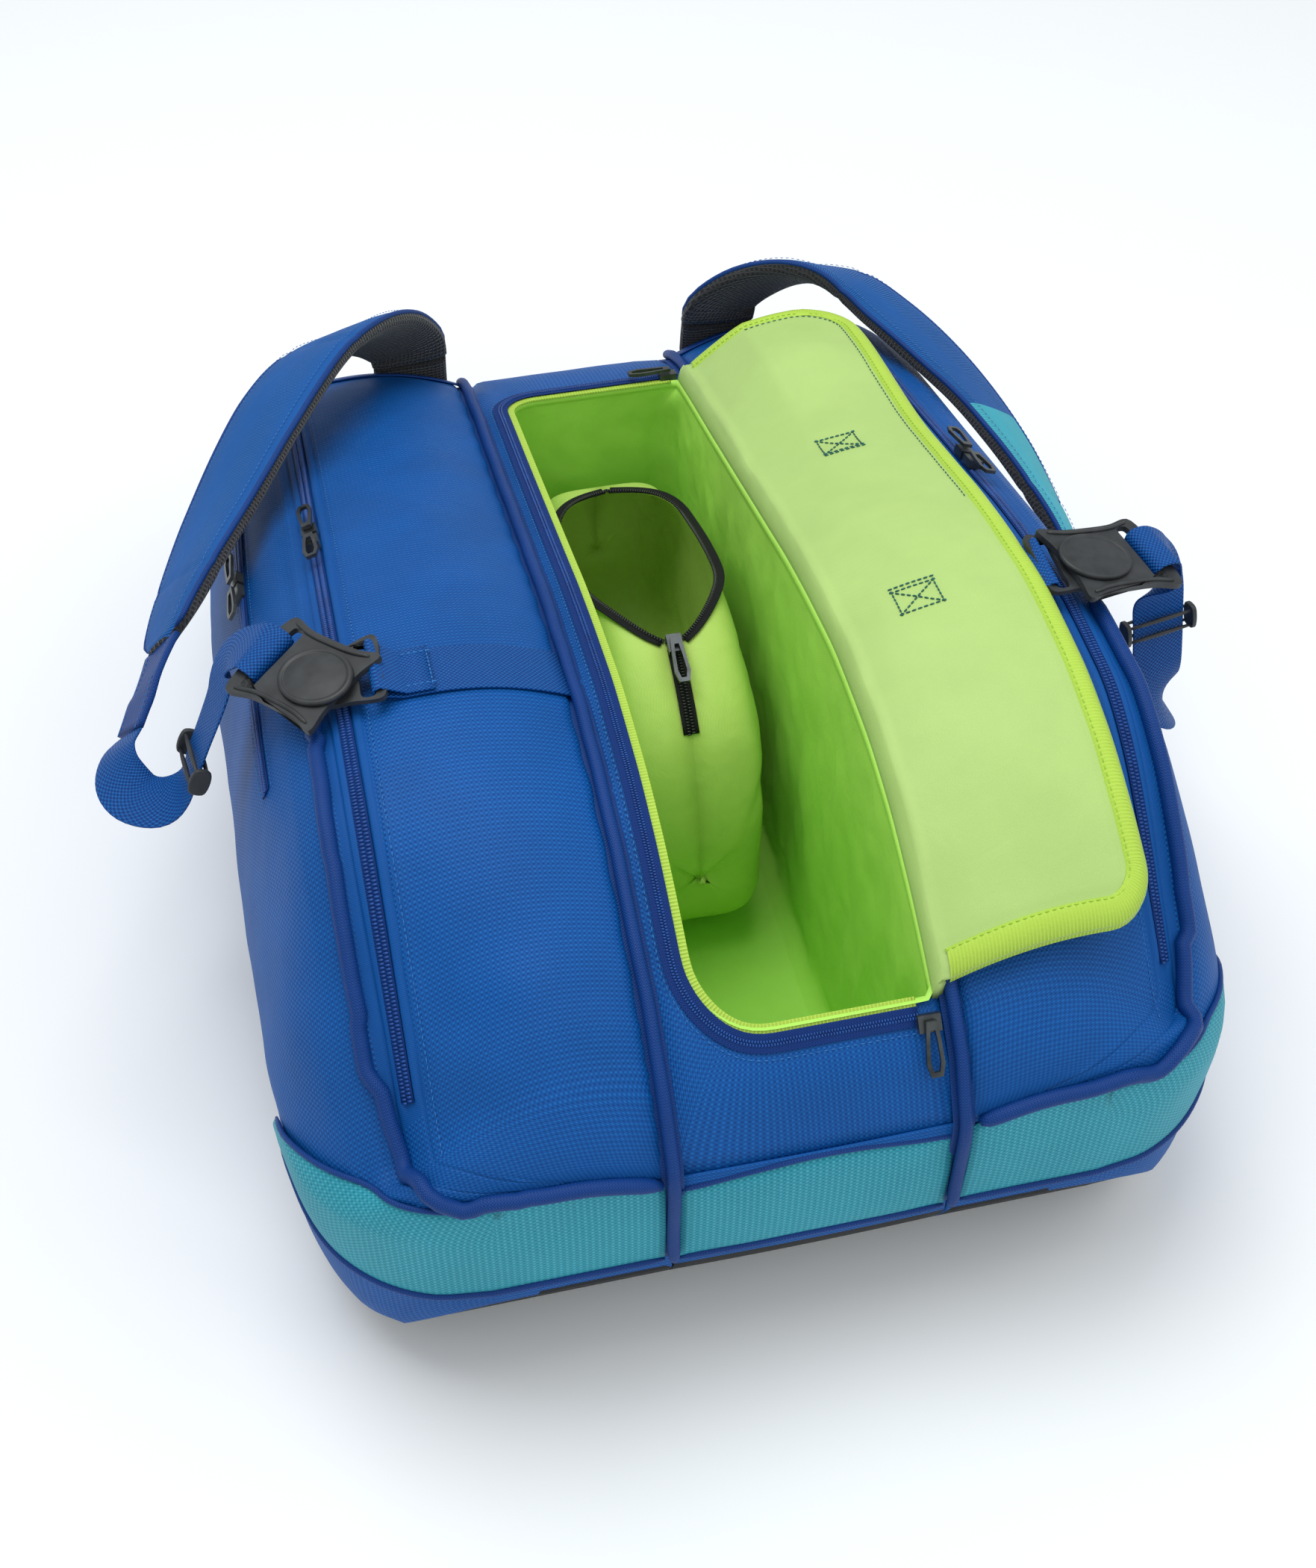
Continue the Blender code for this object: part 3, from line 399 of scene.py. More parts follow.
def wovenCloth(name, facts):
    # Raised threads in a dobby or basket weave. Pitches are in millimetres, drawn at about their real size
    material, tree, shader = newMaterial(name,
                                         {"Roughness": facts["roughness"], "Sheen Weight": facts["sheen"],
                                                "Sheen Roughness": 0.45, "IOR": 1.5,
                                                "Specular IOR Level": facts.get("shine", 0.22)})
    shader.inputs["Sheen Tint"].default_value = hexColour(facts["glint"])
    coords = addNode(tree, "ShaderNodeTexCoord")
    split = addNode(tree, "ShaderNodeSeparateXYZ", None, {0: coords.outputs["UV"]})
    waves = []
    for axis, pitch in (("X", facts["pitch"][0]), ("Y", facts["pitch"][1])):
        turns = addNode(tree, "ShaderNodeMath", {"operation": "MULTIPLY", 1: 2 * math.pi * 1000 / pitch},
                        {0: split.outputs[axis]})
        waves.append(addNode(tree, "ShaderNodeMath", {"operation": "SINE"}, {0: turns.outputs[0]}))
    knots = addNode(tree, "ShaderNodeMath", {"operation": "MULTIPLY"}, {0: waves[0].outputs[0],
                                                                       1: waves[1].outputs[0]})
    ribs = addNode(tree, "ShaderNodeMath", {"operation": "MULTIPLY_ADD", 1: facts["ribs"]},
                   {0: waves[1].outputs[0], 2: knots.outputs[0]})
    thread = addNode(tree, "ShaderNodeTexNoise", {"Scale": 1000 / facts["pitch"][1] * 1.7, "Detail": 2.0},
                     {"Vector": coords.outputs["UV"]})
    height = addNode(tree, "ShaderNodeMath", {"operation": "MULTIPLY_ADD", 1: 0.8},
                     {0: thread.outputs["Fac"], 2: ribs.outputs[0]})
    raised = addNode(tree, "ShaderNodeMapRange", {"From Min": -1.0 - facts["ribs"] + 0.3, "From Max": 1.7 +
                                                  facts["ribs"]}, {"Value": height.outputs[0]})
    tones = addNode(tree, "ShaderNodeValToRGB", None, {"Fac": raised.outputs["Result"]})
    tones.color_ramp.elements[0].position = 0.12
    tones.color_ramp.elements[0].color = hexColour(facts["shade"])
    tones.color_ramp.elements[1].position = 0.88
    tones.color_ramp.elements[1].color = hexColour(facts["glint"])
    middle = tones.color_ramp.elements.new(0.5)
    middle.color = hexColour(facts["colour"])
    # dye lots and handling leave slow drifts of tone about 60 mm across
    drift = addNode(tree, "ShaderNodeTexNoise", {"Scale": 16.0, "Detail": 3.0, "Roughness": 0.6},
                    {"Vector": coords.outputs["Object"]})
    amount = addNode(tree, "ShaderNodeMapRange",
                     {"From Min": 0.35, "From Max": 0.65, "To Min": 1.0 - facts["drift"],
                                                  "To Max": 1.0 + facts["drift"] * 0.6},
                     {"Value": drift.outputs["Fac"]})
    toned = addNode(tree, "ShaderNodeVectorMath", {"operation": "SCALE"},
                    {0: tones.outputs["Color"], "Scale": amount.outputs["Result"]})
    tree.links.new(toned.outputs["Vector"], shader.inputs["Base Color"])
    polish = addNode(tree, "ShaderNodeMapRange", {"To Min": facts["roughness"] + 0.10,
                                                  "To Max": facts["roughness"] - 0.08},
                     {"Value": raised.outputs["Result"]})
    tree.links.new(polish.outputs["Result"], shader.inputs["Roughness"])
    crease = addNode(tree, "ShaderNodeTexNoise",
                     {"Scale": facts.get("crease", 60.0), "Detail": 4.0, "Distortion": 0.6},
                     {"Vector": coords.outputs["Object"]})
    soft = addNode(tree, "ShaderNodeBump", {"Strength": facts.get("creaseDepth", 0.12), "Distance": 0.004},
                   {"Height": crease.outputs["Fac"]})
    weave = addNode(tree, "ShaderNodeBump", {"Strength": facts["relief"], "Distance": 0.0004},
                    {"Height": height.outputs[0], "Normal": soft.outputs["Normal"]})
    tree.links.new(weave.outputs["Normal"], shader.inputs["Normal"])
    return material


def mouldedPlastic(name, facts):
    # Acetal from a spark-eroded mould: a fine even grain that spreads the light
    material, tree, shader = newMaterial(name, {"IOR": 1.48, "Roughness": facts["roughness"],
                                                "Metallic": facts.get("metal", 0.0)})
    coords = addNode(tree, "ShaderNodeTexCoord")
    grain = addNode(tree, "ShaderNodeTexNoise", {"Scale": 1000 / facts["grain"], "Detail": 3.0},
                    {"Vector": coords.outputs["Object"]})
    worn = addNode(tree, "ShaderNodeTexNoise", {"Scale": 90.0, "Detail": 4.0},
                   {"Vector": coords.outputs["Object"]})
    tones = addNode(tree, "ShaderNodeValToRGB", None, {"Fac": worn.outputs["Fac"]})
    tones.color_ramp.elements[0].position = 0.30
    tones.color_ramp.elements[0].color = hexColour(facts["shade"])
    tones.color_ramp.elements[1].position = 0.72
    tones.color_ramp.elements[1].color = hexColour(facts["colour"])
    tree.links.new(tones.outputs["Color"], shader.inputs["Base Color"])
    rubbed = addNode(tree, "ShaderNodeMapRange", {"To Min": facts["roughness"] - 0.08,
                                                  "To Max": facts["roughness"] + 0.10},
                     {"Value": worn.outputs["Fac"]})
    tree.links.new(rubbed.outputs["Result"], shader.inputs["Roughness"])
    pits = addNode(tree, "ShaderNodeBump", {"Strength": facts["relief"], "Distance": 0.0002},
                   {"Height": grain.outputs["Fac"]})
    tree.links.new(pits.outputs["Normal"], shader.inputs["Normal"])
    return material


def spacerMesh(name, facts):
    # Warp-knitted spacer mesh: rows of open cells 3 mm apart over dark foam
    material, tree, shader = newMaterial(name, {"IOR": 1.5, "Roughness": 0.85, "Sheen Weight": 0.25})
    coords = addNode(tree, "ShaderNodeTexCoord")
    cells = addNode(tree, "ShaderNodeTexVoronoi",
                    {"feature": "DISTANCE_TO_EDGE", "Scale": 1000 / facts["cell"],
                                                   "Randomness": 0.25}, {"Vector": coords.outputs["UV"]})
    open_ = addNode(tree, "ShaderNodeMapRange",
                    {"From Min": 0.02, "From Max": 0.30, "To Min": 1.0, "To Max": 0.0},
                    {"Value": cells.outputs["Distance"]})
    tones = addNode(tree, "ShaderNodeValToRGB", None, {"Fac": open_.outputs["Result"]})
    tones.color_ramp.elements[0].color = hexColour(facts["shade"])
    tones.color_ramp.elements[1].color = hexColour(facts["colour"])
    tree.links.new(tones.outputs["Color"], shader.inputs["Base Color"])
    holes = addNode(tree, "ShaderNodeBump", {"Strength": 0.8, "Distance": 0.0009},
                    {"Height": open_.outputs["Result"]})
    tree.links.new(holes.outputs["Normal"], shader.inputs["Normal"])
    return material


clothFacts = {
    # Polyester dobby with a polyurethane back: small raised picks that catch the light in rows
    "blue": {"colour": "#004F99", "shade": "#003F85", "glint": "#0E66B4", "pitch": (2.6, 3.0), "ribs": 0.5,
             "relief": 0.35, "roughness": 0.55, "sheen": 0.04, "drift": 0.08},
    "turquoise": {"colour": "#2C95A8", "shade": "#1F7F94", "glint": "#4DB4C4", "pitch": (3.0, 3.6),
                  "ribs": 0.4,
                  "relief": 0.35, "roughness": 0.55, "sheen": 0.04, "drift": 0.06},
    # Flat-woven edge strips beside the zips, finer than the panels
    "strip": {"colour": "#00509A", "shade": "#003F86", "glint": "#0C5FAC", "pitch": (1.6, 1.2), "ribs": 0.2,
              "relief": 0.25, "roughness": 0.6, "sheen": 0.04, "drift": 0.06},
    # Bias-cut cloth rolled over a cord
    "piping": {"colour": "#06387E", "shade": "#042A66", "glint": "#124C96", "pitch": (1.8, 1.6), "ribs": 0.3,
               "relief": 0.3, "roughness": 0.5, "sheen": 0.04, "drift": 0.06},
    # Basket-woven polypropylene webbing, coarse enough to count its threads
    "webbing": {"colour": "#004A92", "shade": "#003274", "glint": "#1463AE", "pitch": (2.8, 2.8), "ribs": 0.0,
                "relief": 0.7, "roughness": 0.5, "sheen": 0.04, "drift": 0.05},
    "strapFace": {"colour": "#0A549C", "shade": "#074385", "glint": "#1C68B0", "pitch": (40.0, 1.8),
                  "ribs": 0.9,
                  "relief": 0.4, "roughness": 0.6, "sheen": 0.04, "drift": 0.05},
    "strapTurquoise": {"colour": "#36A9BC", "shade": "#2590A4", "glint": "#5CC3D0", "pitch": (40.0, 1.8),
                       "ribs": 0.9, "relief": 0.4, "roughness": 0.6, "sheen": 0.04, "drift": 0.05},
    # Taffeta lining: plain weave too fine to see, so it is drawn coarse and faint, with a slight shine. This
    # lid copy is painted paler and greyer than the well's copy of the same cloth: a painted sheen
    "lining": {"colour": "#B0CE7A", "shade": "#A6C86E", "glint": "#BAD886", "pitch": (1.0, 1.0), "ribs": 0.0,
               "relief": 0.10, "roughness": 0.50, "sheen": 0.04, "drift": 0.04, "crease": 26.0,
               "creaseDepth": 0.22},
    # The same taffeta in the well, painted brighter and more saturated: painted light that lifts the shaded
    # well
    "well": {"colour": "#B2EA62", "shade": "#A8E058", "glint": "#BEF272", "pitch": (1.0, 1.0), "ribs": 0.0,
             "relief": 0.10, "roughness": 0.50, "sheen": 0.04, "drift": 0.04, "crease": 26.0,
             "creaseDepth": 0.25},
    "pouch": {"colour": "#B4D466", "shade": "#A6CA56", "glint": "#C4E07A", "pitch": (1.0, 1.0), "ribs": 0.0,
              "relief": 0.12, "roughness": 0.48, "sheen": 0.04, "drift": 0.05, "crease": 38.0,
              "creaseDepth": 0.30},
    # Ribbed grosgrain binding: ribs 1.4 mm apart across the tape
    "grosgrain": {"colour": "#B2D450", "shade": "#9CC43C", "glint": "#C8E66C", "pitch": (60.0, 2.0),
                  "ribs": 1.2,
                  "relief": 0.6, "roughness": 0.55, "sheen": 0.04, "drift": 0.03},
    # Coated oxford on the underside
    "black": {"colour": "#141518", "shade": "#0B0C0E", "glint": "#24262A", "pitch": (1.6, 1.6), "ribs": 0.0,
              "relief": 0.3, "roughness": 0.6, "sheen": 0.08, "drift": 0.15},
    "zipTape": {"colour": "#052E70", "shade": "#04235A", "glint": "#0A3C86", "pitch": (1.6, 1.6), "ribs": 0.3,
                "relief": 0.4, "roughness": 0.7, "sheen": 0.1, "drift": 0.04},
    "blackTape": {"colour": "#101113", "shade": "#08090A", "glint": "#1C1E20", "pitch": (1.6, 1.6),
                  "ribs": 0.3,
                  "relief": 0.4, "roughness": 0.7, "sheen": 0.1, "drift": 0.05},
}
clothNames = {"blue": "dobbyPolyesterBlue", "turquoise": "dobbyPolyesterTurquoise",
              "strip": "plainPolyesterBlue",
              "piping": "biasCutPipingBlue", "webbing": "basketWebbingBlue",
              "strapFace": "ribbedPolyesterBlue",
              "strapTurquoise": "ribbedPolyesterTurquoise", "lining": "taffetaLime",
              "well": "taffetaLimeWellPaintedLight", "pouch": "taffetaLimePouch",
              "grosgrain": "grosgrainLime", "black": "coatedOxfordBlack", "zipTape": "wovenZipTapeBlue",
              "blackTape": "wovenZipTapeBlack"}
cloth = {key: wovenCloth(clothNames[key], facts) for key, facts in clothFacts.items()}
plastics = {
    "acetal": mouldedPlastic("mouldedAcetalBlack",
                             {"colour": "#36393B", "shade": "#25282A", "roughness": 0.46,
                                                    "grain": 0.5, "relief": 0.25}),
    # Nylon monofilament, woven into the coil of the zip, has a smooth drawn surface
    "coil": mouldedPlastic("drawnNylonCoilBlue", {"colour": "#0A4A98", "shade": "#063A80", "roughness": 0.38,
                                                  "grain": 0.9, "relief": 0.05}),
    "blackCoil": mouldedPlastic("drawnNylonCoilBlack",
                                {"colour": "#1B1D1E", "shade": "#101112", "roughness": 0.38,
                                                        "grain": 0.9, "relief": 0.05}),
    # Zinc die castings, plated dark: a soft metallic sheen with darker hollows
    "gunmetal": mouldedPlastic("platedZincGunmetal",
                               {"colour": "#5A5F60", "shade": "#3C4041", "roughness": 0.34,
                                                      "grain": 0.6, "relief": 0.10, "metal": 0.75}),
    # Spun polyester thread
    "threadBlue": mouldedPlastic("spunThreadBlue", {"colour": "#2A78C0", "shade": "#1E66AE", "roughness": 0.6,
                                                    "grain": 0.4, "relief": 0.3}),
    "threadLime": mouldedPlastic("spunThreadLime", {"colour": "#B0D848", "shade": "#98C434", "roughness": 0.6,
                                                    "grain": 0.4, "relief": 0.3}),
    "threadTeal": mouldedPlastic("spunThreadTeal", {"colour": "#12665F", "shade": "#0C4F4C", "roughness": 0.6,
                                                    "grain": 0.4, "relief": 0.3}),
}
mesh3d = spacerMesh("knittedSpacerMeshBlack", {"cell": 3.0, "colour": "#2A2C30", "shade": "#060708"})
print("materials made")


# Camera, floor and light

cameraFacts = {"place": (-0.213, -0.935, 1.112), "down": 48.0, "turn": 12.7, "roll": -0.1, "lens": 47.0}
camera = bpy.data.objects.new("camera", bpy.data.cameras.new("camera"))
camera.data.lens = cameraFacts["lens"]
camera.data.sensor_width = 36.0
camera.location = cameraFacts["place"]
camera.rotation_euler = (math.radians(90 - cameraFacts["down"]), math.radians(cameraFacts["roll"]),
                         math.radians(-cameraFacts["turn"]))
bpy.context.collection.objects.link(camera)
bpy.context.scene.camera = camera

floorMesh = bpy.data.meshes.new("floor")
floorMesh.from_pydata([(-6, -6, 0), (6, -6, 0), (6, 6, 0), (-6, 6, 0)], [], [(0, 1, 2, 3)])
floor = bpy.data.objects.new("floor", floorMesh)
bpy.context.collection.objects.link(floor)
floorMaterial, _, floorShader = newMaterial("paintedFloor", {"Roughness": 0.9, "Specular IOR Level": 0.1})
floorShader.inputs["Base Color"].default_value = hexColour("#F7FAFB")
floorMesh.materials.append(floorMaterial)

lightFacts = [("keyLight", (-0.45, 0.35, 2.7), (1.8, 1.8), 43),
              ("fillLight", (1.9, -0.9, 2.2), (2.2, 2.2), 17),
              ("frontLight", (-0.4, -2.6, 1.9), (2.4, 1.2), 9)]
for lightName, place, size, power in lightFacts:
    lamp = bpy.data.lights.new(lightName, "AREA")
    lamp.shape, lamp.size, lamp.size_y, lamp.energy = "RECTANGLE", size[0], size[1], power
    light = bpy.data.objects.new(lightName, lamp)
    light.location = place
    light.rotation_euler = (Vector((0, 0, 0.15)) - Vector(place)).to_track_quat("-Z", "Y").to_euler()
    bpy.context.collection.objects.link(light)
world = bpy.data.worlds.new("studio")
world.use_nodes = True
world.node_tree.nodes["Background"].inputs["Color"].default_value = (0.95, 0.98, 1.0, 1.0)
world.node_tree.nodes["Background"].inputs["Strength"].default_value = 0.54
bpy.context.scene.world = world
bpy.context.scene.view_settings.view_transform = "Standard"
print("camera and light set")


# Racket compartments

compartment = {"strip": 0.0094, "pucker": 0.0045, "blackLine": 0.030}
seamYs = spread((-0.388, -0.33, 0.0030), (-0.33, 0.30, 0.0052), (0.30, 0.365, 0.0032))
seamXs = spread((0.0865, 0.190, 0.0042), (0.190, 0.215, 0.00085))


def compartmentRing(y, side):
    inner, xo, zb = bag["inner"], outerAt(y, side), keelAt(y)
    share = min(1.0, (xo - 0.030 - inner) / (0.215 - inner))
    zv = topAt(inner, y)
    ring = [(inner + 0.0004, zb + (zv - 0.014 - zb) * t) for t in (0.0, 0.25, 0.5, 0.75, 0.92, 1.0)]
    ring += [(inner + 0.0006, zv - 0.008), (inner + 0.0018, zv - 0.0036), (inner + 0.0042, zv - 0.0010)]
    flat = [(inner + (x - inner) * share, 0) for x in seamXs]
    ring += [(x, topAt(x, y)) for x, _ in flat]
    xz, zz = ring[-1]
    wide, tall = xo - xz, zz - 0.155
    rim = [(xz, zz)] + [(xz + wide * a, zz - tall * b) for a, b in
                        ((0.24, 0.05), (0.45, 0.16), (0.66, 0.36), (0.84, 0.62), (0.96, 0.86), (1.0, 1.0))]
    rim += [(xo - dx, max(z, zb + (0.0005 if dx < 0.04 else 0.0))) for dx, z in
            ((0.0, 0.120), (0.0, 0.086), (0.004, 0.055), (0.018, 0.022), (0.042, 0.004))]
    ts = [0.0]
    for a, b in zip(rim, rim[1:]):
        ts.append(ts[-1] + max(math.dist(a, b), 1e-4))
    curveX, curveZ = curveOf(ts, [p[0] for p in rim]), curveOf(ts, [p[1] for p in rim])
    steps = [0.0009, 0.0018, 0.0027, 0.0036, 0.0046, 0.0056, 0.0066, 0.0078, 0.0092, 0.0108]
    left = ts[-1] - steps[-1]
    for t in steps + [steps[-1] + left * k / 44 for k in range(1, 45)]:
        t = min(t, ts[-1])
        ring.append((min(curveX(t), xo), max(curveZ(t), zb)))
    endX = ring[-1][0]
    ring += [(inner + (endX - inner) * t, zb) for t in (0.8, 0.6, 0.4, 0.2)]
    return ring


zipColumn = 9 + min(range(len(seamXs)), key=lambda k: abs(seamXs[k] - bag["zip"]))


def compartmentRelief(d, y, p, side):
    # how far the cloth stands out: d is the distance outwards from the zip's centre line
    zipPart = ease((y + 0.338) / 0.006) * ease((0.305 - y) / 0.006)
    flap = ease((abs(d) - 0.0036) / 0.0012) * ease((0.0092 - abs(d)) / 0.0010)
    out = zipPart * (0.0011 * flap - 0.0007 * ease((0.0042 - abs(d)) / 0.0010))
    out -= 0.0009 * hump(abs(d), compartment["strip"], 0.0006)
    if side < 0:
        tucks = ((0.0185, 0.0008), (0.0300, 0.0014), (0.0420, 0.0010))
    else:
        tucks = ((0.0200, 0.0008),)
    for place, depth in tucks:
        wave = place + 0.0020 * wander((0.0, y, 0.0), 0.09, place * 400)
        out += depth * (0.7 * hump(d, wave - 0.0018, 0.0018) - hump(d, wave, 0.0009))
    # soft hollows and swells in the panel
    x = abs(p[0])
    panel = ease((x - 0.084) / 0.02) * ease((-0.010 - d) / 0.012)
    out += panel * (0.0016 * wander(p, 0.085, 3.0) + 0.0007 * wander(p, 0.034, 5.0))
    nearDent = hump(y, -0.325, 0.030)
    out += panel * nearDent * 0.0050 * wander((p[0] * 1.0, p[1] * 1.4, p[2]), 0.055, 8.0 + side)
    low = ease((d - 0.03) / 0.05)
    out += low * (0.0028 * wander(p, 0.11, 11.0) + 0.0010 * wander(p, 0.04, 13.0))
    # puckers that the seam beside the centre compartment pulls into the cloth
    edge = math.exp(-max(x - bag["inner"] - 0.004, 0.0) / 0.007)
    if d < -0.02:
        out += edge * 0.00055 * math.sin(2 * math.pi * y / compartment["pucker"]
                                         + 1.6 * wander((0.0, y, 0.0), 0.03, 2.0)) - edge * 0.0006
    return out


shells = {}
for side, word in sides:
    rings = [compartmentRing(y, side) for y in seamYs]
    grid = np.array([[(side * x, y, z) for x, z in ring] for y, ring in zip(seamYs, rings)])
    normals = facing(grid, True, (len(seamYs) // 2, zipColumn, (0, 0, 1)))
    steps = np.linalg.norm(np.diff(grid, axis=1), axis=2)
    across = np.concatenate([np.zeros((len(grid), 1)), np.cumsum(steps, axis=1)], axis=1)
    across -= across[:, zipColumn:zipColumn + 1]
    for i in range(len(grid)):
        for j in range(6, grid.shape[1] - 5):
            grid[i, j] += normals[i, j] * compartmentRelief(across[i, j], seamYs[i], grid[i, j], side)
    grid[:, :, 2] = np.maximum(grid[:, :, 2], 0.0029)
    # the ends close over padded boards
    near, far = [], []
    middle0 = np.array([grid[0, :, 0].mean(), bag["near"], 0.5 * (grid[0, :, 2].min() + grid[0, :, 2].max())])
    middle1 = np.array([grid[-1, :, 0].mean(), bag["far"],
                        0.5 * (grid[-1, :, 2].min() + grid[-1, :, 2].max())])
    for share in (0.15, 0.45, 0.75, 0.94):
        near.append(middle0 + (grid[0] - middle0) * share + np.array([0, -0.0006 * (1 - share), 0]))
    for share in (0.97, 0.85, 0.6, 0.3, 0.1):
        far.append(middle1 + (grid[-1] - middle1) * share + np.array([0, 0.006 * (1 - share * share), 0]))
    whole = np.concatenate([np.array(near), grid, np.array(far)])

    # the black foot starts at one column of the weave all the way round
    middleRing = grid[len(seamYs) // 2]
    footColumn = next(j for j in range(zipColumn, grid.shape[1])
                      if middleRing[j, 2] < compartment["blackLine"])

    def clothAt(i, j, whole=whole, footColumn=footColumn, count=len(near), rows=len(whole)):
        p = whole[i, j]
        if j >= footColumn or (j < 6 and p[2] < 0.05):
            footTop = whole[min(max(i, count), rows - 6), footColumn, 2] + 0.004
            return 1 if count <= i < rows - 5 or p[2] < footTop else 0
        k = j - zipColumn
        return 2 if -10 <= k <= 14 and -0.345 < p[1] < 0.31 else 0
    shell = clothGrid(word + "CompartmentShell", whole, [cloth["blue"], cloth["black"], cloth["strip"]],
                      clothAt,
                      closed=True, caps=True, refColumn=zipColumn)
    weave = shell.data.uv_layers[0].data
    for face in shell.data.polygons:
        if abs(face.normal.y) > 0.9 and not bag["near"] + 0.001 < face.center.y < bag["far"] - 0.001:
            for corner in face.loop_indices:
                v = shell.data.vertices[shell.data.loops[corner].vertex_index].co
                weave[corner].uv = (v.x, v.z)
    placed(shell, "bag", "blue_fabric", word + "_compartment")
    shells[side] = BVHTree.FromPolygons([v.co for v in shell.data.vertices],
                                        [f.vertices[:] for f in shell.data.polygons])
print("compartments made")


def topNormal(x, y):
    side = 1 if x > 0 else -1
    dx = (topAt(abs(x) + 0.001, y) - topAt(abs(x) - 0.001, y)) / 0.002 * side
    dy = (topAt(abs(x), y + 0.002) - topAt(abs(x), y - 0.002)) / 0.004
    return Vector((-dx, -dy, 1.0)).normalized()


def onTop(x, y, lift):
    n = topNormal(x, y)
    p = Vector((x, y, topAt(abs(x), y))) + n * lift
    return [*p, *n]


zipFacts = {"pitch": 0.0021, "coil": 0.0062, "lift": 0.0004, "tape": 0.0078}
for side, word in sides:
    path = [onTop(side * bag["zip"], y, 0.0009) for y in spread((-0.334, 0.302, 0.012))]
    coil, tape = coilZip(word + "MainZip", path, zipFacts, cloth["zipTape"], plastics["coil"])
    placed(coil, "bag", "blue_zip", word + "_main_zip")
    placed(tape, "bag", "blue_zip")
    inward = stitchRow(word + "PanelTopstitch", [onTop(side * (bag["zip"] - 0.0128), y, 0.0006)
                                                 for y in spread((-0.362, 0.31, 0.012))],
                       plastics["threadBlue"])
    placed(inward, "bag", "blue_fabric")
print("main zips made")


# Piping

def pressed(points, side, lift):
    # lays a path on the compartment's cloth, at a height above it
    out = []
    for p in points:
        touch, normal = shells[side].find_nearest(Vector(p[:3]))[:2]
        out.append([*(touch + normal * lift), *normal])
    return out


piping = {"valley": 0.0037, "rim": 0.0045, "hem": 0.0024,
          "corner": ((0.170, -0.3915), (0.188, -0.3880), (0.200, -0.3815), (0.208, -0.3720),
                     (0.2135, -0.3610)),
          "besideZip": ((0.2170, -0.348), (0.2200, -0.333), (0.2230, -0.316), (0.2252, -0.292),
                        (0.2260, -0.26),
                        (0.2260, -0.225), (0.2255, -0.195), (0.2248, -0.165), (0.2240, -0.14))}
for side, word in sides:
    line = [(y, z) for y, z in [(bag["near"], 0.100), (bag["near"], 0.135)] + bag["valley"][:-2]]
    path = []
    for i, (y, z) in enumerate(line):
        a, b = line[max(i - 1, 0)], line[min(i + 1, len(line) - 1)]
        size = math.dist(a, b)
        out = (-(b[1] - a[1]) / size, (b[0] - a[0]) / size)
        path.append((side * 0.0800, y + out[0] * 0.0042, z + out[1] * 0.0042))
    path = [[p[0] + side * 0.0007 * wander(p, 0.03, 6.0), p[1], p[2] + 0.0005 * wander(p, 0.022, 9.0)]
            for p in smoothPath(path, 0.005)]
    seamBase = [[p[0], p[1], p[2]] for p in path]
    seamRows = []
    for i, p in enumerate(seamBase):
        a, b = seamBase[max(i - 1, 0)], seamBase[min(i + 1, len(seamBase) - 1)]
        n = Vector((0, -(b[2] - a[2]), b[1] - a[1])).normalized()
        seamRows.append([*(Vector(p) - n * 0.0042), *n])
    placed(bandAlong(word + "SeamTape", seamRows, 0.0125, 0.0016, [cloth["piping"]]), "bag", "blue_piping")
    placed(tubeAlong(word + "ValleyPiping", path, piping["valley"], cloth["piping"], 14), "bag",
           "blue_piping",
           word + "_valley_piping")
    # the thick rim roll goes round the near corner and up beside the zip
    rough = [(side * x, bag["near"] - 0.004, topAt(x, bag["near"]) - 0.004)
             for x in (0.0865, 0.105, 0.125, 0.145)]
    rough += [(side * (x + 0.0015), y, topAt(x, max(y, bag["near"])) + 0.001) for x, y in piping["corner"]]
    rough += [(side * x, y, topAt(x, y) + 0.002) for x, y in piping["besideZip"]]
    rim = pressed(smoothPath(rough, 0.006), side, piping["rim"] * 0.72)
    placed(tubeAlong(word + "RimPiping", rim, piping["rim"], cloth["piping"], 16), "bag", "blue_piping",
           word + "_rim_piping")
print("piping made")


# Turquoise end panels

endPanel = {"foot": [(-0.388, 0.100), (-0.353, 0.104), (-0.33, 0.110), (-0.28, 0.128)],
            "top": [(-0.388, 0.184), (-0.384, 0.184), (-0.372, 0.183), (-0.353, 0.179), (-0.33, 0.172),
                    (-0.30, 0.158), (-0.28, 0.142)], "bulge": 0.0026, "gap": 0.0016}
footAt, panelTopAt = curveThrough(endPanel["foot"]), curveThrough(endPanel["top"])


def sideX(y, side, z):
    rim = [p for p in compartmentRing(y, side)[9 + len(seamXs) - 1:-4]]
    return float(np.interp(-z, [-p[1] for p in rim], [p[0] for p in rim]))


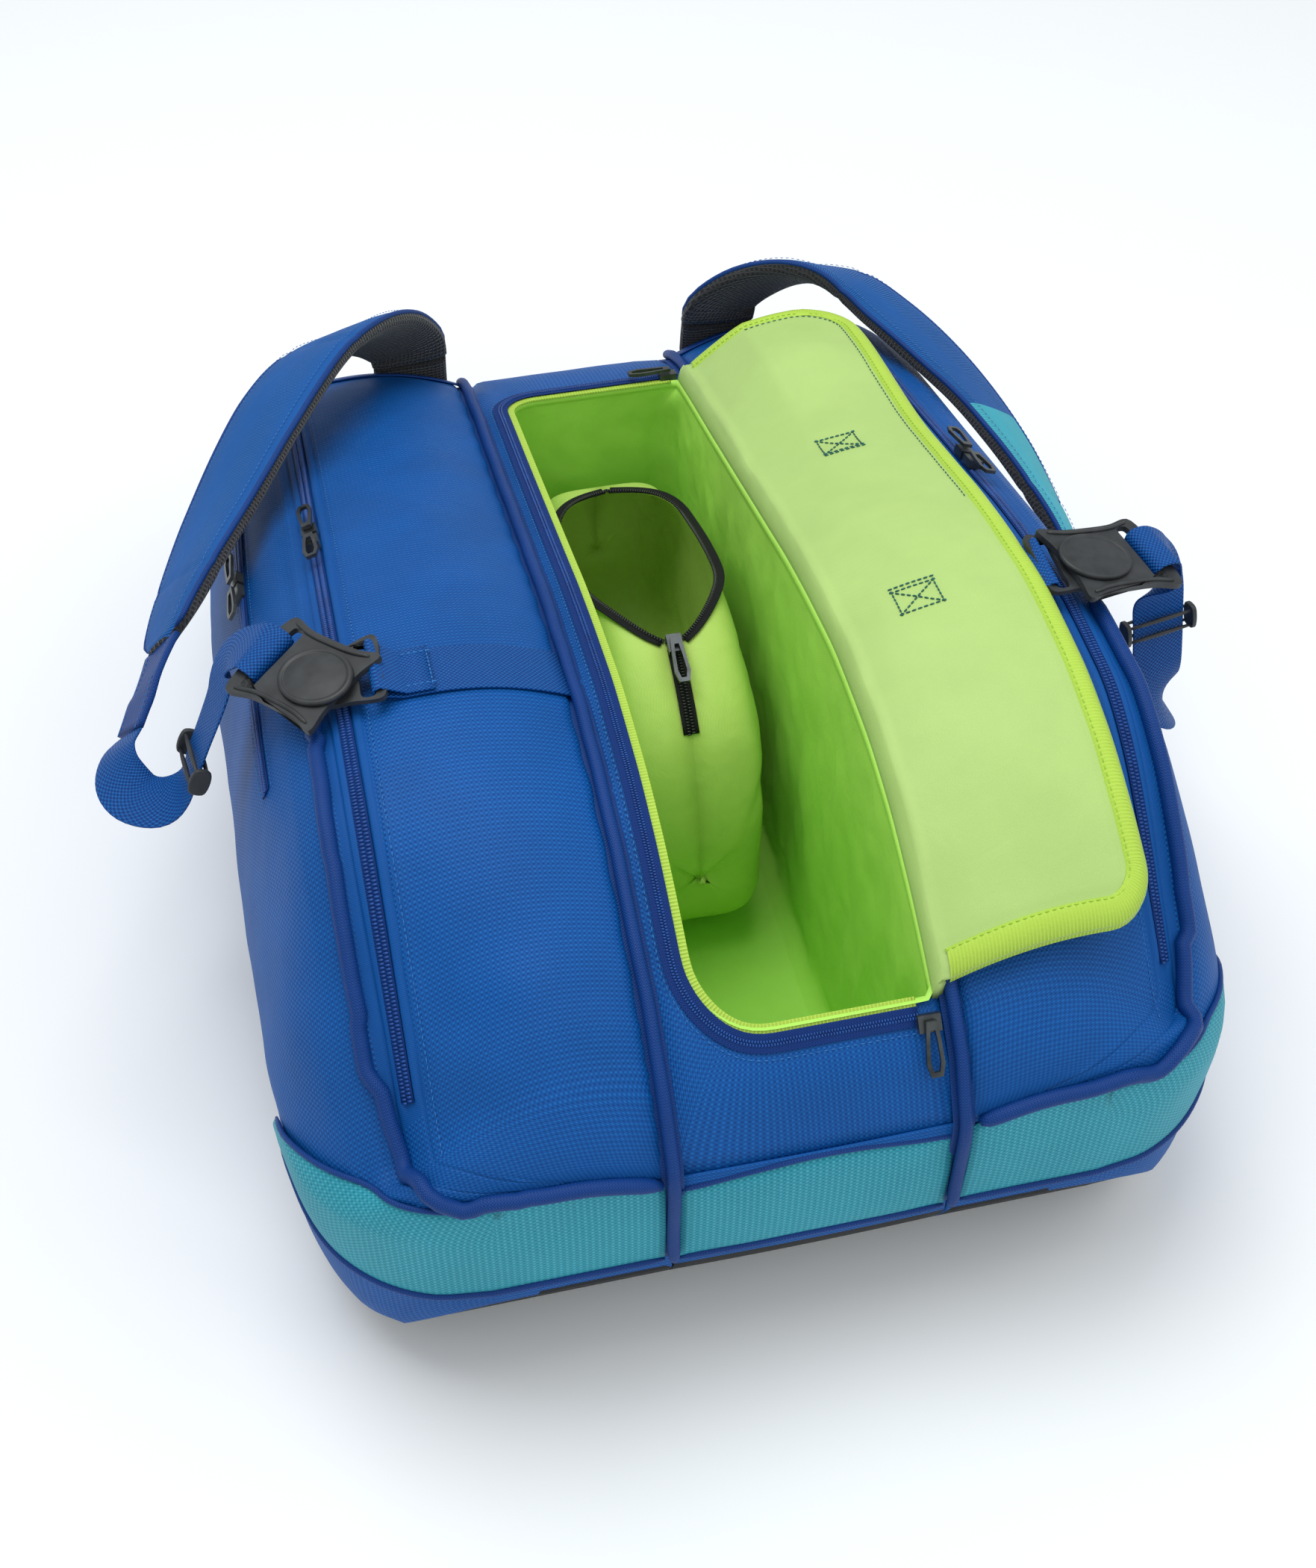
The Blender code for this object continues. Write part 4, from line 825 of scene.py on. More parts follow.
for side, word in sides:
    ys = (-0.388, -0.384, -0.372, -0.353, -0.33, -0.30, -0.281)
    plan = [(0.0845, bag["near"], 0), (0.13, bag["near"], 0)] + [(outerAt(y, side), y, 0) for y in ys]
    grid = []
    for x, y, _ in smoothPath(plan, 0.006):
        y = max(y, bag["near"])
        corner = x <= outerAt(bag["near"], side)
        border = topAt(min(max(x, 0.0845), 0.150), bag["near"]) - 0.0070
        high = border + (panelTopAt(y) - border) * ease((x - 0.150) / 0.055)
        low = footAt(y)
        column = []
        for k in range(15):
            t = k / 14
            z = low + (high - low) * t
            out = endPanel["gap"] + endPanel["bulge"] * math.sin(math.pi * t) ** 0.6
            out += 0.0012 * wander((x * 1.2, y, z), 0.045, 4.0 + side) * math.sin(math.pi * t)
            reach = x if corner else min(x, sideX(y, side, z) + 0.0006)
            turn = ease((y + 0.388) / 0.03)
            column.append((side * (reach + out * turn), y - out * (1 - turn), z))
        grid.append(column)
    panel = clothGrid(word + "EndPanel", grid, [cloth["turquoise"]], outward=(2, 7, (0, -1, 0)), thick=0.0012)
    placed(panel, "bag", "turquoise_fabric", word + "_end_panel")
    hem = [column[0] for column in grid]
    placed(tubeAlong(word + "HemPiping", hem, piping["hem"], cloth["piping"]), "bag", "blue_piping")
    upper = [column[-1] for column in grid if abs(column[-1][0]) > 0.19]
    placed(tubeAlong(word + "PanelPiping", upper, 0.0016, cloth["piping"]), "bag", "blue_piping")
    # under the hem a narrow blue band has short black bars across it
    bandRows = smoothPath(hem, 0.0029)
    bandGrid = [[(p[0] * (1 - 0.010 * t), p[1] + 0.0006 + 0.004 * t, p[2] - 0.001 - 0.0125 * t)
                 for t in (0.0, 0.4, 0.7, 1.0)]
                for p in bandRows]

    def bars(i, j, side=side, bandRows=bandRows):
        return 1 if side > 0 or i % 4 < 2 or abs(bandRows[i][0]) < 0.125 else 0
    band = clothGrid(word + "FootBand", bandGrid, [cloth["piping"], cloth["black"]], bars,
                     outward=(2, 2, (0, -1, 0)),
                     thick=0.001)
    placed(band, "bag", "black_base_fabric")
grid = []
for i in range(27):
    x = -0.0765 + 0.153 * i / 26
    column = []
    for k in range(13):
        t = k / 12
        out = 0.0008 + 0.0048 * math.sin(math.pi * t) ** 0.5 * (1 - (x / 0.082) ** 4)
        out += 0.0010 * wander((x, 0, t * 0.07), 0.04, 7.0)
        column.append((x, bag["near"] - out, 0.096 + (0.076 + 0.004 * math.cos(x * 40)) * t))
    grid.append(column)
placed(clothGrid("CentreEndPanel", grid, [cloth["turquoise"]], outward=(13, 6, (0, -1, 0)), thick=0.0012),
       "bag",
       "turquoise_fabric", "centre_end_panel")
placed(tubeAlong("CentreHem", [column[0] for column in grid], piping["hem"], cloth["piping"]), "bag",
       "blue_piping")
placed(tubeAlong("CentrePanelEdge", [column[-1] for column in grid], 0.0020, cloth["piping"]), "bag",
       "blue_piping")
print("end panels made")


# Centre compartment

mouth = {"left": bag["openLeft"], "right": bag["openRight"], "near": bag["openNear"], "far": bag["openFar"],
         "nearRadius": bag["openCorner"], "farRadius": 0.020, "rightRadius": 0.004}


def roundedLoop(left, right, near, far, radii, count):
    # a rectangle with rounded corners, clockwise from the near right corner
    # radii are near right, near left, far left, far right
    corners = [(right, near, radii[0], -90, 0), (left, near, radii[1], -180, -90),
               (left, far, radii[2], 90, 180),
               (right, far, radii[3], 0, 90)]
    points = []
    for x, y, r, a, b in corners:
        cx = x + (r if x == left else -r)
        cy = y + (r if y == near else -r)
        for k in range(9):
            angle = math.radians(b + (a - b) * k / 8)
            points.append((cx + r * math.cos(angle), cy + r * math.sin(angle)))
    points.append(points[0])
    lengths = [0.0]
    for a, b in zip(points, points[1:]):
        lengths.append(lengths[-1] + max(math.dist(a, b), 1e-9))
    at = [lengths[-1] * k / count for k in range(count)]
    return [(float(np.interp(t, lengths, [p[0] for p in points])),
             float(np.interp(t, lengths, [p[1] for p in points])))
            for t in at]


loopCount = 240
mouthLoop = roundedLoop(mouth["left"], mouth["right"], mouth["near"], mouth["far"],
                        (mouth["rightRadius"], mouth["nearRadius"], mouth["farRadius"],
                         mouth["rightRadius"]), loopCount)


def outwardOf(loop, k):
    a, b = loop[k - 1], loop[(k + 1) % len(loop)]
    way = Vector((b[0] - a[0], b[1] - a[1], 0)).normalized()
    out = Vector((way.y, -way.x, 0))
    middle = Vector((loop[k][0] - 0.0075, loop[k][1] + 0.046, 0))
    return out if out.dot(middle) > 0 else -out


border = []
for k, (x, y) in enumerate(mouthLoop):
    # outer border: the seams at both sides and the two ends of the top
    out = outwardOf(mouthLoop, k)
    reach = []
    if abs(out.x) > 1e-6:
        reach.append(((0.0788 if out.x > 0 else -0.0788) - x) / out.x)
    if abs(out.y) > 1e-6:
        reach.append(((bag["far"] if out.y > 0 else bag["near"]) - y) / out.y)
    border.append([x + out.x * min(reach), y + out.y * min(reach)])
for corner in ((-0.0788, bag["near"]), (0.0788, bag["near"]), (-0.0788, bag["far"]), (0.0788, bag["far"])):
    border[min(range(loopCount), key=lambda k: math.dist(border[k], corner))] = list(corner)
grid = []
for k, (x, y) in enumerate(mouthLoop):
    d = math.dist((x, y), border[k])
    out = Vector((border[k][0] - x, border[k][1] - y, 0)) / d
    column = []
    for m in range(13):
        t = (m / 12) ** 1.25
        px, py = x + out.x * d * t, y + out.y * d * t
        edge = ease((0.0785 - abs(px)) / 0.014)
        lift = 0.0028 * edge * ease(d * t / 0.012) + 0.0007 * wander((px, py, 0), 0.04, 3.0)
        puff = 0.0009 * math.sin(2 * math.pi * py / 0.012 + 2.0 * wander((0, py, 0), 0.05, 1.0)) * (1 - edge)
        column.append((px, py, valleyAt(py) + lift * ease((py + 0.388) / 0.02) + puff - 0.001 * (1 - edge)))
    grid.append(column)
grid.append(grid[0])
margins = clothGrid("CentreMargins", grid, [cloth["blue"]], outward=(80, 3, (0, 0, 1)), thick=0.0014)
placed(margins, "bag", "centre_fabric", "centre_compartment")
profile = [(-0.3885, 0.179), (-0.3888, 0.150), (-0.3882, 0.115), (-0.388, 0.088)]
profile += [(y, keelAt(y))
            for y in spread((-0.384, -0.285, 0.008), (-0.285, 0.27, 0.04), (0.27, 0.36, 0.008))]
profile += [(0.3655, 0.075), (0.366, 0.100)]
grid = [[(x, y - 0.001 * (1 - (x / 0.0785) ** 2), z) for x in spread((-0.0785, 0.0785, 0.012))]
        for y, z in profile]


def underCloth(i, j):
    return 0 if profile[i][1] > 0.094 and profile[i][0] < 0 else 1


placed(clothGrid("CentreUnderside", grid, [cloth["blue"], cloth["black"]], underCloth,
                 outward=(12, 5, (0, 0, -1)),
                 thick=0.0012), "bag", "black_base_fabric")

# The lining hangs from the mouth, in soft vertical folds
lining = {"wall": 0.0708, "near": -0.349, "far": 0.2575, "floor": 0.0105, "fold": 0.0032}
wallLoop = roundedLoop(-lining["wall"], lining["wall"], lining["near"], lining["far"],
                       (0.02, 0.02, 0.02, 0.02), loopCount)
shift = min(range(loopCount), key=lambda k: math.dist(wallLoop[k], mouthLoop[0]))
grid = []
for k, (x, y) in enumerate(mouthLoop):
    wx, wy = wallLoop[(k + shift) % loopCount]
    out = outwardOf(mouthLoop, k)
    lip = valleyAt(y) + 0.0016
    column = [(x + out.x * 0.003, y + out.y * 0.003, lip), (x, y, lip + 0.0006),
              (x - out.x * 0.001, y - out.y * 0.001, lip - 0.004)]
    for m in range(1, 31):
        t = m / 30
        floor = max(lining["floor"], keelAt(wy) + 0.009)
        widen = ease(t / 0.30)
        z = lip - 0.004 - (lip - 0.004 - floor) * ease(t) ** 0.9
        px, py = x + (wx - x) * widen, y + (wy - y) * widen
        fold = lining["fold"] * widen * (1 - t * 0.4) * (
            1 + wander((px * 1.3, py * 1.3, z * 0.35), 0.026, 5.0)
                                                         + 0.7 * wander((px, py, z * 0.8), 0.012, 2.0))
        shrink = 1 - 0.16 * ease((t - 0.86) / 0.14)
        column.append((px * shrink - out.x * fold, py - out.y * fold, z))
    ex, ey, ez = column[-1]
    for t in (0.35, 0.7, 1.0):
        column.append((ex * (1 - t), ey + (max(min(ey, 0.20), -0.29) - ey) * t,
                       ez + 0.0012 * wander((ex, ey, t), 0.03, 7.0)))
    grid.append(column)
grid.append(grid[0])
well = clothGrid("CompartmentLining", grid, [cloth["well"]], outward=(120, 15, (0.2, 0, 1)))
placed(well, "bag", "lime_lining")

# The zip round the mouth, and the lining's ribbed edge inside it
keepOn = [k for k in range(loopCount) if mouthLoop[k][0] < 0.066]
start = next(k for k in range(loopCount) if mouthLoop[k][0] < 0.066 and mouthLoop[k - 1][0] >= 0.066)
order = [(start + k) % loopCount for k in range(len(keepOn))]


def mouthPath(offset, lift):
    path = []
    for k in order:
        out = outwardOf(mouthLoop, k)
        x, y = mouthLoop[k][0] + out.x * offset, mouthLoop[k][1] + out.y * offset
        slope = (valleyAt(y + 0.002) - valleyAt(y - 0.002)) / 0.004
        path.append([x, y, valleyAt(y) + 0.0028 * ease((offset + 0.002) / 0.012) + lift, 0, -slope, 1])
    return path


mouthZip = {"pitch": 0.0016, "coil": 0.0034, "lift": 0.0006, "tape": 0.0105}
coil, tape = coilZip("MouthZip", mouthPath(0.0085, 0.0012), mouthZip, cloth["zipTape"], plastics["coil"])
placed(coil, "bag", "blue_zip", "centre_zip", "near_edge_zip", "far_edge_zip")
placed(tape, "bag", "blue_zip")
ribbed = bandAlong("MouthBinding", smoothPath(mouthPath(0.0018, 0.0012), 0.005), 0.0066, 0.0016,
                   [cloth["grosgrain"]])
placed(ribbed, "bag", "lime_tape")
placed(stitchRow("MouthStitch", mouthPath(0.0150, 0.0004), plastics["threadBlue"]), "bag", "centre_fabric")
print("centre compartment made")


# Lid, folded open. Its lining faces up

lid = {"hinge": 0.0756, "outer": 0.192, "near": -0.3435, "far": 0.2492, "nearRadius": 0.027,
       "farRadius": 0.045,
       "thick": 0.0058, "trim": 0.0125, "bend": ((0.13, -0.175, 0.31), (0.13, -0.105, 0.31))}


def lidUnder(x, y):
    u = max((x - 0.079) / 0.143, 0.0)
    farLift = 0.014 * ease((y - 0.05) / 0.15) * min(1.0, u * 4.0)
    return valleyAt(y) + 0.0108 + 0.020 * crown(u) + farLift


def lidReach(y):
    # how far the free edge is from the hinge, with its two rounded corners
    for end, r in ((lid["near"], lid["nearRadius"]), (lid["far"], lid["farRadius"])):
        d = abs(y - end)
        if d < r:
            return lid["outer"] - r + math.sqrt(max(r * r - (r - d) ** 2, 0.0))
    return lid["outer"]


def lidTop(x, y):
    rim = min(lidReach(y) - x, y - lid["near"], lid["far"] - y)
    inside = ease(rim / 0.03)
    p = (x, y, 0.0)
    slant = wander(((x + y) * 0.9, (x - y) * 0.35, 0.0), 0.040, 4.0)
    relief = inside * (0.0018 * wander(p, 0.09, 1.0) + 0.0016 * slant + 0.0006 * wander(p, 0.022, 6.0))
    relief -= 0.0011 * hump(rim, lid["trim"], 0.0016)
    for cx, cy in ((0.13, 0.053), (0.118, -0.138)):
        relief -= 0.0018 * math.exp(-((x - cx) / 0.015) ** 4 - ((y - cy) / 0.013) ** 4)
    round_ = 0.0026 * (1 - ease(rim / 0.0045))
    return lidUnder(x, y) + 0.0062 + relief - round_


lidYs = spread((lid["near"], lid["near"] + 0.006, 0.0012), (lid["near"] + 0.006, lid["near"] + 0.03, 0.003),
               (lid["near"] + 0.03, lid["far"] - 0.05, 0.0055),
               (lid["far"] - 0.05, lid["far"] - 0.008, 0.003),
               (lid["far"] - 0.008, lid["far"], 0.0012))
grid = []
for y in lidYs:
    reach = lidReach(y)
    # the hinge edge rolls down into the mouth
    row = [(0.0700, y, lidUnder(0.0756, y) - 0.0120), (0.0706, y, lidUnder(0.0756, y) - 0.0050),
           (0.0722, y, lidUnder(0.0756, y) + 0.0012), (0.0744, y, lidUnder(0.0756, y) + 0.0046)]
    for j in range(41):
        t = j / 40
        x = lid["hinge"] + (reach - lid["hinge"]) * (1 - (1 - t) ** 1.15)
        row.append((x, y, lidTop(x, y)))
    grid.append(row)
lidCloth = clothGrid("LidLining", grid, [cloth["lining"]], outward=(50, 20, (0, 0, 1)), thick=lid["thick"])
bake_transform(lidCloth)
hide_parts("lid_near_half", "lid_far_half")


def onLid(inset, lift, first=0.079, ends=True):
    # points round the lid's free edge, a distance in from it
    near, far, outer = lid["near"] + inset, lid["far"] - inset, lid["outer"] - inset
    rn, rf = max(lid["nearRadius"] - inset, 0.001), max(lid["farRadius"] - inset, 0.001)
    plan = [(x, near) for x in spread((first, outer - rn, 0.006))]
    plan += [(outer - rn + rn * math.sin(a), near + rn - rn * math.cos(a))
             for a in [math.pi / 2 * k / 8 for k in range(1, 8)]]
    plan += [(outer, y) for y in spread((near + rn, far - rf, 0.006))]
    plan += [(outer - rf + rf * math.cos(a), far - rf + rf * math.sin(a))
             for a in [math.pi / 2 * k / 10 for k in range(1, 10)]]
    plan += [(x, far) for x in spread((outer - rf, first, 0.006))]
    out = []
    for x, y in plan:
        dx = (lidTop(x + 0.001, y) - lidTop(x - 0.001, y)) / 0.002 if inset > 0.004 else 0.0
        dy = (lidUnder(x, y + 0.003) - lidUnder(x, y - 0.003)) / 0.006
        n = Vector((-dx, -dy, 1)).normalized()
        out.append([x, y, lidTop(x, y) + lift, *n])
    return out


def bendWithLid(obj, slot, *nodes):
    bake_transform(obj)
    if nodes:
        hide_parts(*nodes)
    return obj


rows = [onLid(inset, lift)
        for inset, lift in ((lid["trim"], 0.0002), (0.0118, 0.0012), (0.0090, 0.0015), (0.0060, 0.0015),
                            (0.0034, 0.0014), (0.0016, 0.0011), (0.0004, 0.0004))]
count = min(len(row) for row in rows)
trimGrid = []
for index in range(count):
    line = []
    for row in rows:
        at = index * (len(row) - 1) / (count - 1)
        low, share = int(at), at - int(at)
        a, b = row[low], row[min(low + 1, len(row) - 1)]
        line.append([a[k] + (b[k] - a[k]) * share for k in range(3)])
    x, y, z = line[-1]
    under = lidUnder(min(x, 0.192), y)
    line += [(x, y, z - 0.0022), (x, y, under + 0.0010),
             (x - 0.002 if abs(y) < 0.2 else x, y, under - 0.0002)]
    trimGrid.append(line)
trim = clothGrid("LidTrim", trimGrid, [cloth["grosgrain"]], outward=(count // 2, 3, (0, 0, 1)), refColumn=6)
bendWithLid(trim, "lime_tape", "lid_binding_near", "lid_binding_far")
bendWithLid(stitchRow("LidTrimStitch", onLid(0.0107, 0.0014), plastics["threadLime"]), "lime_tape")
edgeRun = [row for row in onLid(0.0150, 0.0002) if row[1] > -0.05 and row[0] > 0.11]
bendWithLid(stitchRow("LidTealStitch", edgeRun, plastics["threadTeal"], 0.0030, 0.0012, 0.00045),
            "lime_lining")
anchorBox = {"half": (0.012, 0.010), "spots": ((0.13, 0.053, -1), (0.118, -0.138, 1))}
for index, (cx, cy, bar) in enumerate(anchorBox["spots"]):
    hx, hy = anchorBox["half"]
    corners = [(-hx, -hy), (hx, -hy), (hx, hy), (-hx, hy), (-hx, -hy)]
    lines = list(zip(corners, corners[1:])) + [((-hx, -hy), (hx, hy)), ((hx, -hy), (-hx, hy)),
                                              ((-hx, bar * (hy + 0.003)), (hx, bar * (hy + 0.003)))]
    for number, (a, b) in enumerate(lines):
        path = [[cx + a[0] + (b[0] - a[0]) * t, cy + a[1] + (b[1] - a[1]) * t]
                for t in (0.0, 0.25, 0.5, 0.75, 1.0)]
        path = [[x, y, lidTop(x, y) + 0.0003, 0, 0, 1] for x, y in path]
        bendWithLid(stitchRow("HandleBox%d%d" % (index, number), path, plastics["threadTeal"], 0.0030,
                              0.0006, 0.0006),
                    "lime_lining")
handlePath = [[0.126, y, lidUnder(0.126, y) - 0.0014, 0, 0, -1] for y in spread((-0.126, 0.055, 0.008))]
handle = bandAlong("LidHandle", handlePath, 0.034, 0.0022, [cloth["webbing"]])
placed(handle, "lid_far", "blue_webbing", "lid_handle")
# A band of lining cloth joins the lid to the compartment
hingePath = [[0.0716, y, valleyAt(y) + 0.0035, -1, 0, 0.3] for y in spread((-0.338, 0.244, 0.010))]
placed(bandAlong("LidHingeTape", hingePath, 0.010, 0.0012, [cloth["grosgrain"]]), "bag", "lime_tape")
print("lid made")


# Shoe pouch

pouch = {"rows": [(-0.128, 0.060, 0.130, 0.030), (-0.118, 0.040, 0.168, 0.042),
                  (-0.100, 0.028, 0.200, 0.047), (-0.06, 0.022, 0.226, 0.049), (-0.02, 0.020, 0.236, 0.050),
                  (0.03, 0.020, 0.234, 0.050), (0.09, 0.020, 0.214, 0.050), (0.15, 0.022, 0.186, 0.049),
                  (0.19, 0.030, 0.160, 0.044), (0.205, 0.050, 0.125, 0.034)],
         "middle": -0.002, "mouthFrom": -0.050, "mouthTo": 0.158, "mouthHalf": 0.036}
pouchLow, pouchHigh, pouchHalf = [curveOf([row[0] for row in pouch["rows"]],
                                          [row[k] for row in pouch["rows"]])
                                  for k in (1, 2, 3)]


def mouthWidth(y):
    if not pouch["mouthFrom"] < y < pouch["mouthTo"]:
        return 0.0
    return pouch["mouthHalf"] * min(ease((y - pouch["mouthFrom"]) / 0.075),
                                    ease((pouch["mouthTo"] - y) / 0.050)) ** 0.8


pouchYs = spread((-0.128, -0.10, 0.004), (-0.10, 0.19, 0.0052), (0.19, 0.205, 0.004))
grid = []
for y in pouchYs:
    low, high, half = pouchLow(y), pouchHigh(y), pouchHalf(y)
    middle, tall, gap = (low + high) / 2, (high - low) / 2, mouthWidth(y)
    row = []
    # from the mouth's right edge down, underneath and up to its left edge, as a rounded box
    open_ = math.asin(min(gap / half, 0.95)) if gap else 0.0
    for k in range(61):
        angle = math.pi / 2 - open_ - (2 * math.pi - 2 * open_) * k / 60
        c, s = math.cos(angle), math.sin(angle)
        power = 0.42
        x = half * math.copysign(abs(c) ** power, c)
        if abs(x) < gap and s > 0:
            x = math.copysign(gap, x)
        z = middle + tall * math.copysign(abs(s) ** power, s)
        if s > 0.2 and gap:
            # the slack mouth stands up a little and leans outwards
            z += 0.004 * (gap / pouch["mouthHalf"]) * hump(abs(x) - gap, 0.0, 0.01)
        row.append((pouch["middle"] + x, y, z))
    grid.append(row)
ends = [[], []]
for index, row in ((0, grid[0]), (1, grid[-1])):
    centre = np.array(row).mean(axis=0)
    for share in (0.02, 0.3, 0.7):
        ends[index].append([tuple(centre + (np.array(p) - centre) * share) for p in row])
grid = ends[0] + grid + ends[1][::-1]
pouchCloth = clothGrid("ShoePouch", grid, [cloth["pouch"]], outward=(20, 10, (1, 0, 0)))
rowsCount, colsCount = len(grid), 61
held = []
for i in range(rowsCount):
    for j in range(colsCount):
        rim = min(j, colsCount - 1 - j)
        held.append(1.0 if rim < 2 or i < 1 or i >= rowsCount - 1 else 0.0)
inflate(pouchCloth, held, {"stiffness": 12.0, "bending": 0.4, "pressure": 2.2, "frames": 14, "cap": 0.0035})
for index, v in enumerate(pouchCloth.data.vertices):
    i, j = divmod(index, colsCount)
    rim = min(j, colsCount - 1 - j)
    n = v.normal
    side_ = ease((rim - 6) / 6)
    v.co += n * (side_ * (0.0016 * wander((v.co.x * 0.7, v.co.y, v.co.z * 0.6), 0.038, 3.0)
                          - 0.0022 * math.exp(-((wander(v.co, 0.075, 8.0)) / 0.09) ** 2)
                          + 0.0007 * wander(v.co, 0.014, 5.0)))
pouchCloth.data.update()
zipEdges = []
for column in (0, colsCount - 1):
    edge = [Vector(pouchCloth.data.vertices[i * colsCount + column].co) for i in range(2, rowsCount - 2)]
    zipEdges.append([p for p in edge if -0.102 < p.y < 0.162])
shell = pouchCloth.modifiers.new("thickness", "SOLIDIFY")
shell.thickness = 0.0012
applyModifiers(pouchCloth)
placed(pouchCloth, "pouch", "pouch_fabric", "shoe_pouch")
pouchZip = {"pitch": 0.0019, "coil": 0.0052, "lift": 0.0008, "tape": 0.0100}
closed = [[pouch["middle"] - 0.0, p.y, p.z + 0.0012, 0, 0.05, 1] for p in zipEdges[0] if p.y < -0.050]
coil, tape = coilZip("PouchClosedZip", closed, pouchZip, cloth["blackTape"], plastics["blackCoil"])
placed(coil, "pouch", "black_zip", "shoe_pouch_zip")
placed(tape, "pouch", "black_zip")
for hand, edge in ((1, zipEdges[0]), (-1, zipEdges[1])):
    run = [p for p in edge if p.y >= -0.052]
    path = [[p.x + hand * 0.0022, p.y, p.z + 0.0010, 0, 0, 1] for p in run]
    placed(bandAlong("PouchTape%d" % hand, smoothPath(path, 0.005), 0.0060, 0.0008, [cloth["blackTape"]]),
           "pouch",
           "black_zip")
    turns = []
    for p, ahead, across, out in frames(smoothPath([[*(p + Vector((-hand * 0.0006, 0, 0.0012))), 0, 0, 1]
                                                    for p in run],
                                                  0.0019)):
        turns.append((p, ahead, across, out))
    placed(beads("PouchTeeth%d" % hand, turns, (0.0008, 0.0017, 0.0009), plastics["blackCoil"]), "pouch",
           "black_zip")
print("shoe pouch made")


# Shoulder straps, buckles and webbing

strapFacts = {
    "share": 0.93,
    "width": [0.058, 0.062, 0.066, 0.070, 0.072, 0.073, 0.073, 0.072, 0.070, 0.066, 0.060, 0.050],
    -1: [(-0.117, 0.3190, 0.1985, -0.02, 0.95, 0.25), (-0.1190, 0.3150, 0.2130, -0.05, 0.92, 0.35),
         (-0.1330, 0.3020, 0.2345, -0.15, 0.80, 0.55), (-0.1560, 0.2790, 0.2530, -0.28, 0.55, 0.78),
         (-0.1850, 0.2460, 0.2640, -0.40, 0.25, 0.88), (-0.2100, 0.2080, 0.2650, -0.50, 0.02, 0.86),
         (-0.2340, 0.1660, 0.2600, -0.58, -0.08, 0.80), (-0.2565, 0.1220, 0.2540, -0.64, -0.10, 0.75),
         (-0.2760, 0.0820, 0.2490, -0.70, -0.10, 0.70), (-0.2935, 0.0420, 0.2455, -0.76, -0.10, 0.63),
         (-0.3090, 0.0040, 0.2420, -0.82, -0.10, 0.55), (-0.3215, -0.0270, 0.2385, -0.86, -0.10, 0.48)],
    1: [(0.117, 0.3190, 0.1985, 0.02, 0.95, 0.25), (0.1200, 0.3140, 0.2160, -0.10, 0.92, 0.36),
        (0.1420, 0.3080, 0.2345, -0.12, 0.84, 0.52), (0.1720, 0.2990, 0.2440, 0.02, 0.66, 0.75),
        (0.2046, 0.2830, 0.2400, 0.22, 0.34, 0.91), (0.2284, 0.2570, 0.2290, 0.40, 0.14, 0.90),
        (0.2500, 0.2150, 0.2200, 0.52, 0.0, 0.85), (0.2680, 0.1770, 0.2090, 0.62, -0.05, 0.78),
        (0.2810, 0.1320, 0.1990, 0.70, -0.10, 0.70), (0.2900, 0.0870, 0.1880, 0.78, -0.12, 0.60),
        (0.2980, 0.0420, 0.1740, 0.84, -0.15, 0.50), (0.3030, 0.0000, 0.1550, 0.88, -0.15, 0.42)]}


def strapWidthAt(t):
    table = strapFacts["width"]
    base = float(np.interp(t * (len(table) - 1), range(len(table)), table)) - 0.002
    # the lower end is rounded
    return base * math.sqrt(max(1 - ((t - 0.965) / 0.035) ** 2, 0.30)) if t > 0.965 else base


def strapThickAt(t):
    swell = 0.0128 - 0.004 * hump(t, 0.0, 0.05) - 0.005 * hump(t, 1.0, 0.05)
    return swell - 0.0022 * (hump(t, 0.30, 0.006) + hump(t, 0.86, 0.006))


for side, word in sides:
    rows = smoothPath(strapFacts[side], 0.0055)
    rows = rows[:round(len(rows) * strapFacts["share"])]
    count = len(rows)
    # where the strap is sewn into the seam
    root = [(side * 0.117, 0.3262, 0.168, side * 0.02, 0.95, 0.25),
            (side * 0.117, 0.3232, 0.184, side * 0.02, 0.95, 0.25),
            (side * 0.117, 0.3200, 0.197, side * 0.02, 0.95, 0.25)]
    placed(bandAlong(word + "StrapRoot", smoothPath(root, 0.004), 0.054, 0.0105, [cloth["strapFace"], mesh3d],
                     lambda i, j: 0 if 2 <= j <= 15 else 1, ridge=0.15), "bag", "strap_fabric")

    def strapCloth(i, j, count=count, side=side):
        if not 2 <= j <= 15:
            return 1
        return 2 if side > 0 and i / count > 0.66 else 0
    strap = bandAlong(word + "ShoulderStrap", rows, strapWidthAt, strapThickAt,
                      [cloth["strapFace"], mesh3d, cloth["strapTurquoise"]], strapCloth, ridge=0.18)
    placed(strap, word + "_strap", "strap_fabric", word + "_shoulder_strap")
    # bound edges and the stitches beside them
    for hand in (-1, 1):
        edge, inner = [], []
        for k, (p, ahead, across, out) in enumerate(frames(rows)):
            w = strapWidthAt(k / (count - 1)) / 2
            t = strapThickAt(k / (count - 1)) / 2
            edge.append(p + across * (hand * (w - 0.0012)) + out * (t * 0.52))
            inner.append([*(p + across * (hand * (w - 0.0075)) + out * (t * 1.02)), *out])
        placed(tubeAlong("%sStrapEdge%d" % (word, hand), edge[1:-1], 0.0019, cloth["piping"]),
               word + "_strap",
               "strap_fabric")
        placed(stitchRow("%sStrapStitch%d" % (word, hand), inner[2:-2], plastics["threadBlue"], sink=-0.0006),
               word + "_strap", "strap_fabric")

buckle = {"y": -0.127, "x": {-1: 0.2195, 1: 0.2278}, "slope": 13.0, "swing": {-1: 50.0, 1: 12.0},
          "rise": 0.0125,
          "bar": 0.0436, "innerBar": 0.0322}


